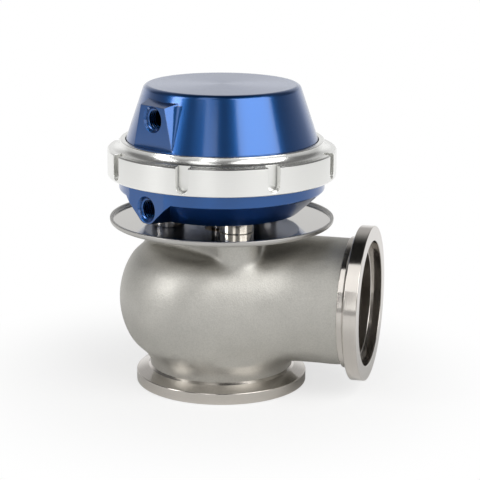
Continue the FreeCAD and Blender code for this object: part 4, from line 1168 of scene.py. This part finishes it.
class WASTEGATE_OT_cap(bpy.types.Operator):
    """Spring cap: the blue cone with its flat port boss, hollow inside"""

    bl_idname = "wastegate.cap"
    bl_label = "Cap"

    def execute(self, context):
        size = sizes()
        base, foot = size.cap_base_radius, size.cap_base_height
        crown, top = size.cap_top_radius, size.cap_top
        cap = turned("cap_shell", [
            (0, DIAPHRAGM_TOP),
            (37.3 * MM, DIAPHRAGM_TOP, 0.4 * MM),
            (37.3 * MM, LIP_UNDERSIDE, 0.3 * MM),
            (base, LIP_UNDERSIDE),
            (base, foot, 0.5 * MM),
            (crown, top, size.cap_edge_round),
            (0, top),
        ])
        face, height = size.cap_port_face, size.cap_port_height
        wide, narrow, boss_top = 10.2 * MM, 6.2 * MM, 107.5 * MM
        depth = 6.4 * MM
        growth, side = depth * math.tan(math.radians(15)), depth * math.tan(math.radians(22))
        slope = (wide - narrow) / (boss_top - foot)
        block = pushed("cap_boss", plate(face, foot, wide, boss_top, narrow), (-depth, 0, 0))
        # The boss widens towards the cap on all sides, more at its flanks than above and below.
        for vertex in block.data.vertices:
            if vertex.co.x < face - MM:
                upper = vertex.co.z > height
                height_now = boss_top + growth if upper else foot - growth
                across = wide + side - (height_now - foot) * slope
                vertex.co.y = math.copysign(across, vertex.co.y)
                vertex.co.z = height_now
        settle(block, (0, 0, PORT_ANGLE))
        combine(cap, block, "UNION")
        # The inner corners between the boss's flanks and the cone are hollow, wider the higher they get.
        low_corner = Vector((33.33, 10.06, 93.2)) * MM
        rise = Vector((-4.66, -1.87, 14.8)) * MM
        flank, cone = Vector((0.927, -0.375, 0)), Vector((-0.282, 0.959, 0))
        for hand in (1, -1):
            cove = cove_strip("cap_cove", low_corner, rise, flank, cone, 0.75 * MM, 8.0, hand)
            combine(cap, settle(cove, (0, 0, PORT_ANGLE)), "UNION")
        shave = pushed("cap_shave", plate(face, foot, 20 * MM, top, 20 * MM), (5 * MM, 0, 0))
        combine(cap, settle(shave, (0, 0, PORT_ANGLE)), "DIFFERENCE")
        inside = turned("cap_inside", [
            (0, DIAPHRAGM_TOP - MM),
            (CHAMBER_RADIUS, DIAPHRAGM_TOP - MM),
            (CHAMBER_RADIUS, 91.2 * MM, 2 * MM),
            (25.9 * MM, CAP_ROOF - MM, 1 * MM),
            (24.9 * MM, CAP_ROOF, 0.5 * MM),
            (0, CAP_ROOF),
        ])
        combine(cap, inside, "DIFFERENCE")
        combine(cap, settle(port_tool(height, face, 24 * MM), (0, 0, PORT_ANGLE)), "DIFFERENCE")
        finishes = [bpy.data.materials["blue_anodised_" + skin] for skin in ("aluminium", "milled")]
        finish_piece(cap, "cap", "blue_aluminium", finishes, "top_cap")
        lean = (base - crown) / (top - foot)

        def milled(centre, normal):
            """Whether a face was milled, not turned."""
            turned_radius = base - (centre.z - foot) * lean
            return foot < centre.z < boss_top + 2 * MM and is_milled(centre, turned_radius, (PORT_ANGLE,))

        paint(cap, 1, milled)
        thread = port_thread("cap_port_thread", PORT_ANGLE, height, face, 27.8 * MM)
        finish_piece(thread, "cap", "blue_aluminium", [bpy.data.materials["blue_anodised_thread"]])
        return {"FINISHED"}


def spring_line(name, radius, wire, turns, low, high):
    """A coil spring with closed, ground ends, drawn along a smooth curve."""
    deselect_all()
    bpy.ops.curve.primitive_nurbs_path_add()
    piece = bpy.context.object
    piece.name = name
    spline = piece.data.splines[0]
    steps = int(turns * 16)
    spline.points.add(steps + 1 - len(spline.points))
    # A quarter of the wire is ground off at each end.
    start, climb = low + wire * 0.25, high - low - wire * 0.5
    end_rise = wire * 1.04
    for step, point in enumerate(spline.points):
        turned_by = turns * step / steps
        if turned_by <= 1:
            rise = end_rise * turned_by
        elif turned_by >= turns - 1:
            rise = climb - end_rise * (turns - turned_by)
        else:
            share = (turned_by - 1) / (turns - 2)
            eased = share - 0.12 * math.sin(FULL_TURN * share)
            rise = end_rise + (climb - 2 * end_rise) * eased
        angle = FULL_TURN * turned_by
        point.co = (radius * math.cos(angle), radius * math.sin(angle), start + rise, 1)
    spline.order_u = 4
    spline.use_endpoint_u = True
    piece.data.bevel_depth = wire / 2
    piece.data.bevel_resolution = 4
    piece.data.resolution_u = 2
    piece.data.use_fill_caps = True
    bpy.ops.object.convert(target="MESH")
    bpy.ops.object.mode_set(mode="EDIT")
    for height, side in ((low, -1), (high, 1)):
        bpy.ops.mesh.select_all(action="SELECT")
        plane = {"plane_co": (0, 0, height), "plane_no": (0, 0, side)}
        bpy.ops.mesh.bisect(**plane, clear_outer=True, use_fill=True)
    return close_up(piece)


class WASTEGATE_OT_springs(bpy.types.Operator):
    """Three nested coil springs and the rolling diaphragm"""

    bl_idname = "wastegate.springs"
    bl_label = "Springs and diaphragm"

    def execute(self, context):
        wire_steel = plain_metal("oiled_spring_steel", "#6A6D72", 0.24, 0.4, 1.5, 0.01)
        low, high = 82.8 * MM, CAP_ROOF
        # Each coil's node, radius and wire in millimetres, and turns.
        rows = (("outer_spring", 20, 3, 5), ("middle_spring", 14, 2.4, 6), ("inner_spring", 9.7, 1.9, 7))
        for node, radius, wire, turns in rows:
            name = node.replace("spring", "coil")
            coil = spring_line(name, radius * MM, wire * MM, turns, low, high)
            finish_piece(coil, "cap", "spring_steel", [wire_steel], node)
            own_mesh(coil)
        skin = turned("rolled_diaphragm", [
            (3 * MM, 79.3 * MM),
            (26.1 * MM, 79.3 * MM, 1 * MM),
            (26.1 * MM, 89 * MM, 2 * MM),
            (30.4 * MM, 89 * MM, 2 * MM),
            (30.4 * MM, 84.5 * MM, 0.5 * MM),
            (37.2 * MM, 84.5 * MM, 0.3 * MM),
            (37.2 * MM, DIAPHRAGM_TOP, 0.3 * MM),
            (31.4 * MM, DIAPHRAGM_TOP, 0.4 * MM),
            (31.4 * MM, 90.15 * MM, 3 * MM),
            (25.1 * MM, 90.15 * MM, 3 * MM),
            (25.1 * MM, 80.3 * MM, 0.5 * MM),
            (3 * MM, 80.3 * MM),
        ])
        finish_piece(skin, "body", "diaphragm_rubber", [moulded_rubber()], "diaphragm")
        skin.parent = None
        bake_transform(skin)
        return {"FINISHED"}


class WASTEGATE_OT_inner_parts(bpy.types.Operator):
    """Finishes of the small parts that keep their CAD shape"""

    bl_idname = "wastegate.inner_parts"
    bl_label = "Small parts"

    def execute(self, context):
        black = plain_metal("black_oxide_steel", "#2C2B2D", 0.3, 0.45, 0.6, 0.008)
        plain = plain_metal("turned_aluminium", "#CFCFCC", 0.22, 0.34, 0.7, 0.006)
        washer = plain_metal("zinc_washer_steel", "#B9BABB", 0.25, 0.4, 0.9, 0.006)
        # The stem bush shares the bronze that is darkened partly by painted shade.
        bronze = bpy.data.materials["turned_bronze"]
        finishes = {
            "body_screws": black,
            "housing_plug": black,
            "seal_clip": black,
            "stem_nut": black,
            "diaphragm_washer": plain,
            "piston": plain,
            "screw_washers": washer,
            "stem_washer": washer,
            "stem_bush": bronze,
            "stem_seal": seal_plastic(),
        }
        for node, material in finishes.items():
            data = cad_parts[node].data
            data.materials.clear()
            data.materials.append(material)
        return {"FINISHED"}


# Stage

LAMP_DISTANCE = 950 * MM
LAMP_AIM = Vector((0, 0, 60 * MM))


def softbox(name, azimuth, elevation, wide, tall, radiance):
    """A soft lamp that looks at the object, from an azimuth to the right of the front and an elevation."""
    across, up = math.radians(azimuth), math.radians(elevation)
    towards = Vector((math.sin(across) * math.cos(up), -math.cos(across) * math.cos(up), math.sin(up)))
    lamp = bpy.data.lights.new(name, "AREA")
    lamp.shape = "RECTANGLE"
    lamp.size, lamp.size_y = wide, tall
    lamp.energy = radiance * math.pi * wide * tall
    holder = bpy.data.objects.new(name, lamp)
    bpy.context.scene.collection.objects.link(holder)
    holder.location = LAMP_AIM + towards * LAMP_DISTANCE
    holder.rotation_euler = towards.to_track_quat("Z", "Y").to_euler()


def white_room():
    """A white backdrop that gloss shows behind the object, with a dim room in front and overhead."""
    world = bpy.data.worlds.new("white_room")
    bpy.context.scene.world = world
    world.use_nodes = True
    tree = world.node_tree
    tree.nodes.clear()
    way = add_node(tree, "TexCoord").outputs["Generated"]
    upward = add_node(tree, "SeparateXYZ", {0: way}).outputs["Z"]
    # The backdrop stands behind the object, a little to the left.
    facing = vector_maths(tree, "DOT_PRODUCT", way, (-0.3, 0.954, 0))["Value"]
    behind = spread(tree, facing, 0.0, 0.42, 0.55, 0.85, "SMOOTHSTEP")
    # All round, the white board's far end lights the room up to a little above the horizon.
    low_down = spread(tree, upward, 0.55, 0.15, 0.1, 0.36, "SMOOTHSTEP")
    # Overhead, from about 50 degrees up, the room is dark.
    above = spread(tree, upward, 1.0, 0.12, 0.78, 0.92, "SMOOTHSTEP")
    seen = maths(tree, "MULTIPLY", maths(tree, "ADD", behind, low_down), above)
    # The camera itself sees plain white.
    camera_ray = add_node(tree, "LightPath").outputs["Is Camera Ray"]
    shown = add_node(tree, "Mix", {"data_type": "FLOAT", 0: camera_ray, 2: seen, 3: 1.0}).outputs[0]
    light = add_node(tree, "Background", {"Color": (1, 1, 1, 1), "Strength": shown})
    add_node(tree, "OutputWorld", {"Surface": light.outputs[0]})


def pale_floor_finish():
    """Matt white board that keeps the object's shadow and reads as white further out."""
    material, tree, shader = new_material("matt_white_board", {"Roughness": 0.9, "Specular IOR Level": 0.1})
    tree.links.new(tint(tree, colours().floor, grain(tree, 3, 2.0), 0.01), shader.inputs["Base Color"])
    rays = add_node(tree, "LightPath")
    place = add_node(tree, "TexCoord").outputs["Object"]
    away = vector_maths(tree, "LENGTH", place)["Value"]
    fade = spread(tree, away, 0.68, 1.0, 0.03, 0.12, "SMOOTHSTEP")
    # Gloss sees the board as white too, but only away from the object, so that its foot keeps its shade.
    far = spread(tree, away, 0.0, 0.97, 0.05, 0.16, "SMOOTHSTEP")
    for_gloss = maths(tree, "MULTIPLY", rays.outputs["Is Glossy Ray"], far)
    amount = maths(tree, "MULTIPLY_ADD", rays.outputs["Is Camera Ray"], fade, for_gloss)
    white = add_node(tree, "Emission", {"Color": (1, 1, 1, 1), "Strength": 1.0}).outputs[0]
    mix = add_node(tree, "MixShader", {0: amount, 1: shader.outputs[0], 2: white})
    tree.links.new(mix.outputs[0], tree.nodes["Material Output"].inputs["Surface"])
    return material


class WASTEGATE_OT_stage(bpy.types.Operator):
    """Camera, pale floor, soft lamps and white room"""

    bl_idname = "wastegate.stage"
    bl_label = "Stage"

    def execute(self, context):
        scene = context.scene
        # The camera was fitted to the circles of the flanges, the shield, the ring nut and the cap.
        azimuth, elevation, roll = math.radians(14.74), math.radians(14.14), math.radians(0.37)
        back = Vector((
            math.sin(azimuth) * math.cos(elevation),
            -math.cos(azimuth) * math.cos(elevation),
            math.sin(elevation),
        ))
        right = Vector((math.cos(azimuth), math.sin(azimuth), 0))
        sideways, upwards, distance = 6.79, 53.56, 619.9
        aim = right * sideways * MM + Vector((0, 0, upwards * MM))
        lens = bpy.data.cameras.new("camera")
        lens.sensor_width = 36
        lens.lens = 124.94
        lens.clip_start, lens.clip_end = 0.01, 20
        camera = bpy.data.objects.new("camera", lens)
        scene.collection.objects.link(camera)
        camera.location = aim + back * distance * MM
        camera.rotation_mode = "QUATERNION"
        camera.rotation_quaternion = (-back).to_track_quat("-Z", "Y") @ Quaternion((0, 0, 1), roll)
        scene.camera = camera
        deselect_all()
        bpy.ops.mesh.primitive_circle_add(vertices=96, radius=0.55, fill_type="NGON", location=(0, 0, 0))
        floor = context.object
        floor.name = "floor"
        settle(floor, at=(0, 0, -0.05 * MM))
        floor.data.materials.append(pale_floor_finish())
        softbox("right_softbox", 63, 34, 0.86, 0.7, 3.3)
        softbox("front_strip", 1, 16, 0.26, 0.46, 1.7)
        softbox("front_top_softbox", -13, 50, 0.3, 0.72, 1.45)
        softbox("left_strip", -53, 25, 0.26, 0.56, 6.0)
        white_room()
        scene.view_settings.view_transform = "Standard"
        return {"FINISHED"}


BUILD_ORDER = (
    WASTEGATE_OT_stage,
    WASTEGATE_OT_casting,
    WASTEGATE_OT_flanges,
    WASTEGATE_OT_valve,
    WASTEGATE_OT_shield,
    WASTEGATE_OT_housing,
    WASTEGATE_OT_collar,
    WASTEGATE_OT_cap,
    WASTEGATE_OT_springs,
    WASTEGATE_OT_inner_parts,
)


class WASTEGATE_PT_panel(bpy.types.Panel):
    """Buttons for each piece, with the sizes and colours"""

    bl_label = "Wastegate"
    bl_idname = "WASTEGATE_PT_panel"
    bl_space_type = "VIEW_3D"
    bl_region_type = "UI"
    bl_category = "Wastegate"

    def draw(self, context):
        layout = self.layout
        for operator in BUILD_ORDER:
            layout.operator(operator.bl_idname)
        for group in (context.scene.wastegate_sizes, context.scene.wastegate_colours):
            box = layout.box()
            for name in group.__annotations__:
                box.prop(group, name)


CLASSES = (WastegateSizes, WastegateColours, *BUILD_ORDER, WASTEGATE_PT_panel)


def register():
    """Make the classes known to Blender."""
    for item in CLASSES:
        bpy.utils.register_class(item)
    bpy.types.Scene.wastegate_sizes = PointerProperty(type=WastegateSizes)
    bpy.types.Scene.wastegate_colours = PointerProperty(type=WastegateColours)


def unregister():
    """Take the classes out again."""
    del bpy.types.Scene.wastegate_colours
    del bpy.types.Scene.wastegate_sizes
    for item in reversed(CLASSES):
        bpy.utils.unregister_class(item)


def main():
    """Build every piece in order."""
    register()
    for operator in BUILD_ORDER:
        group, name = operator.bl_idname.split(".")
        getattr(getattr(bpy.ops, group), name)()
    bpy.context.view_layer.update()


if __name__ == "__main__":
    main()
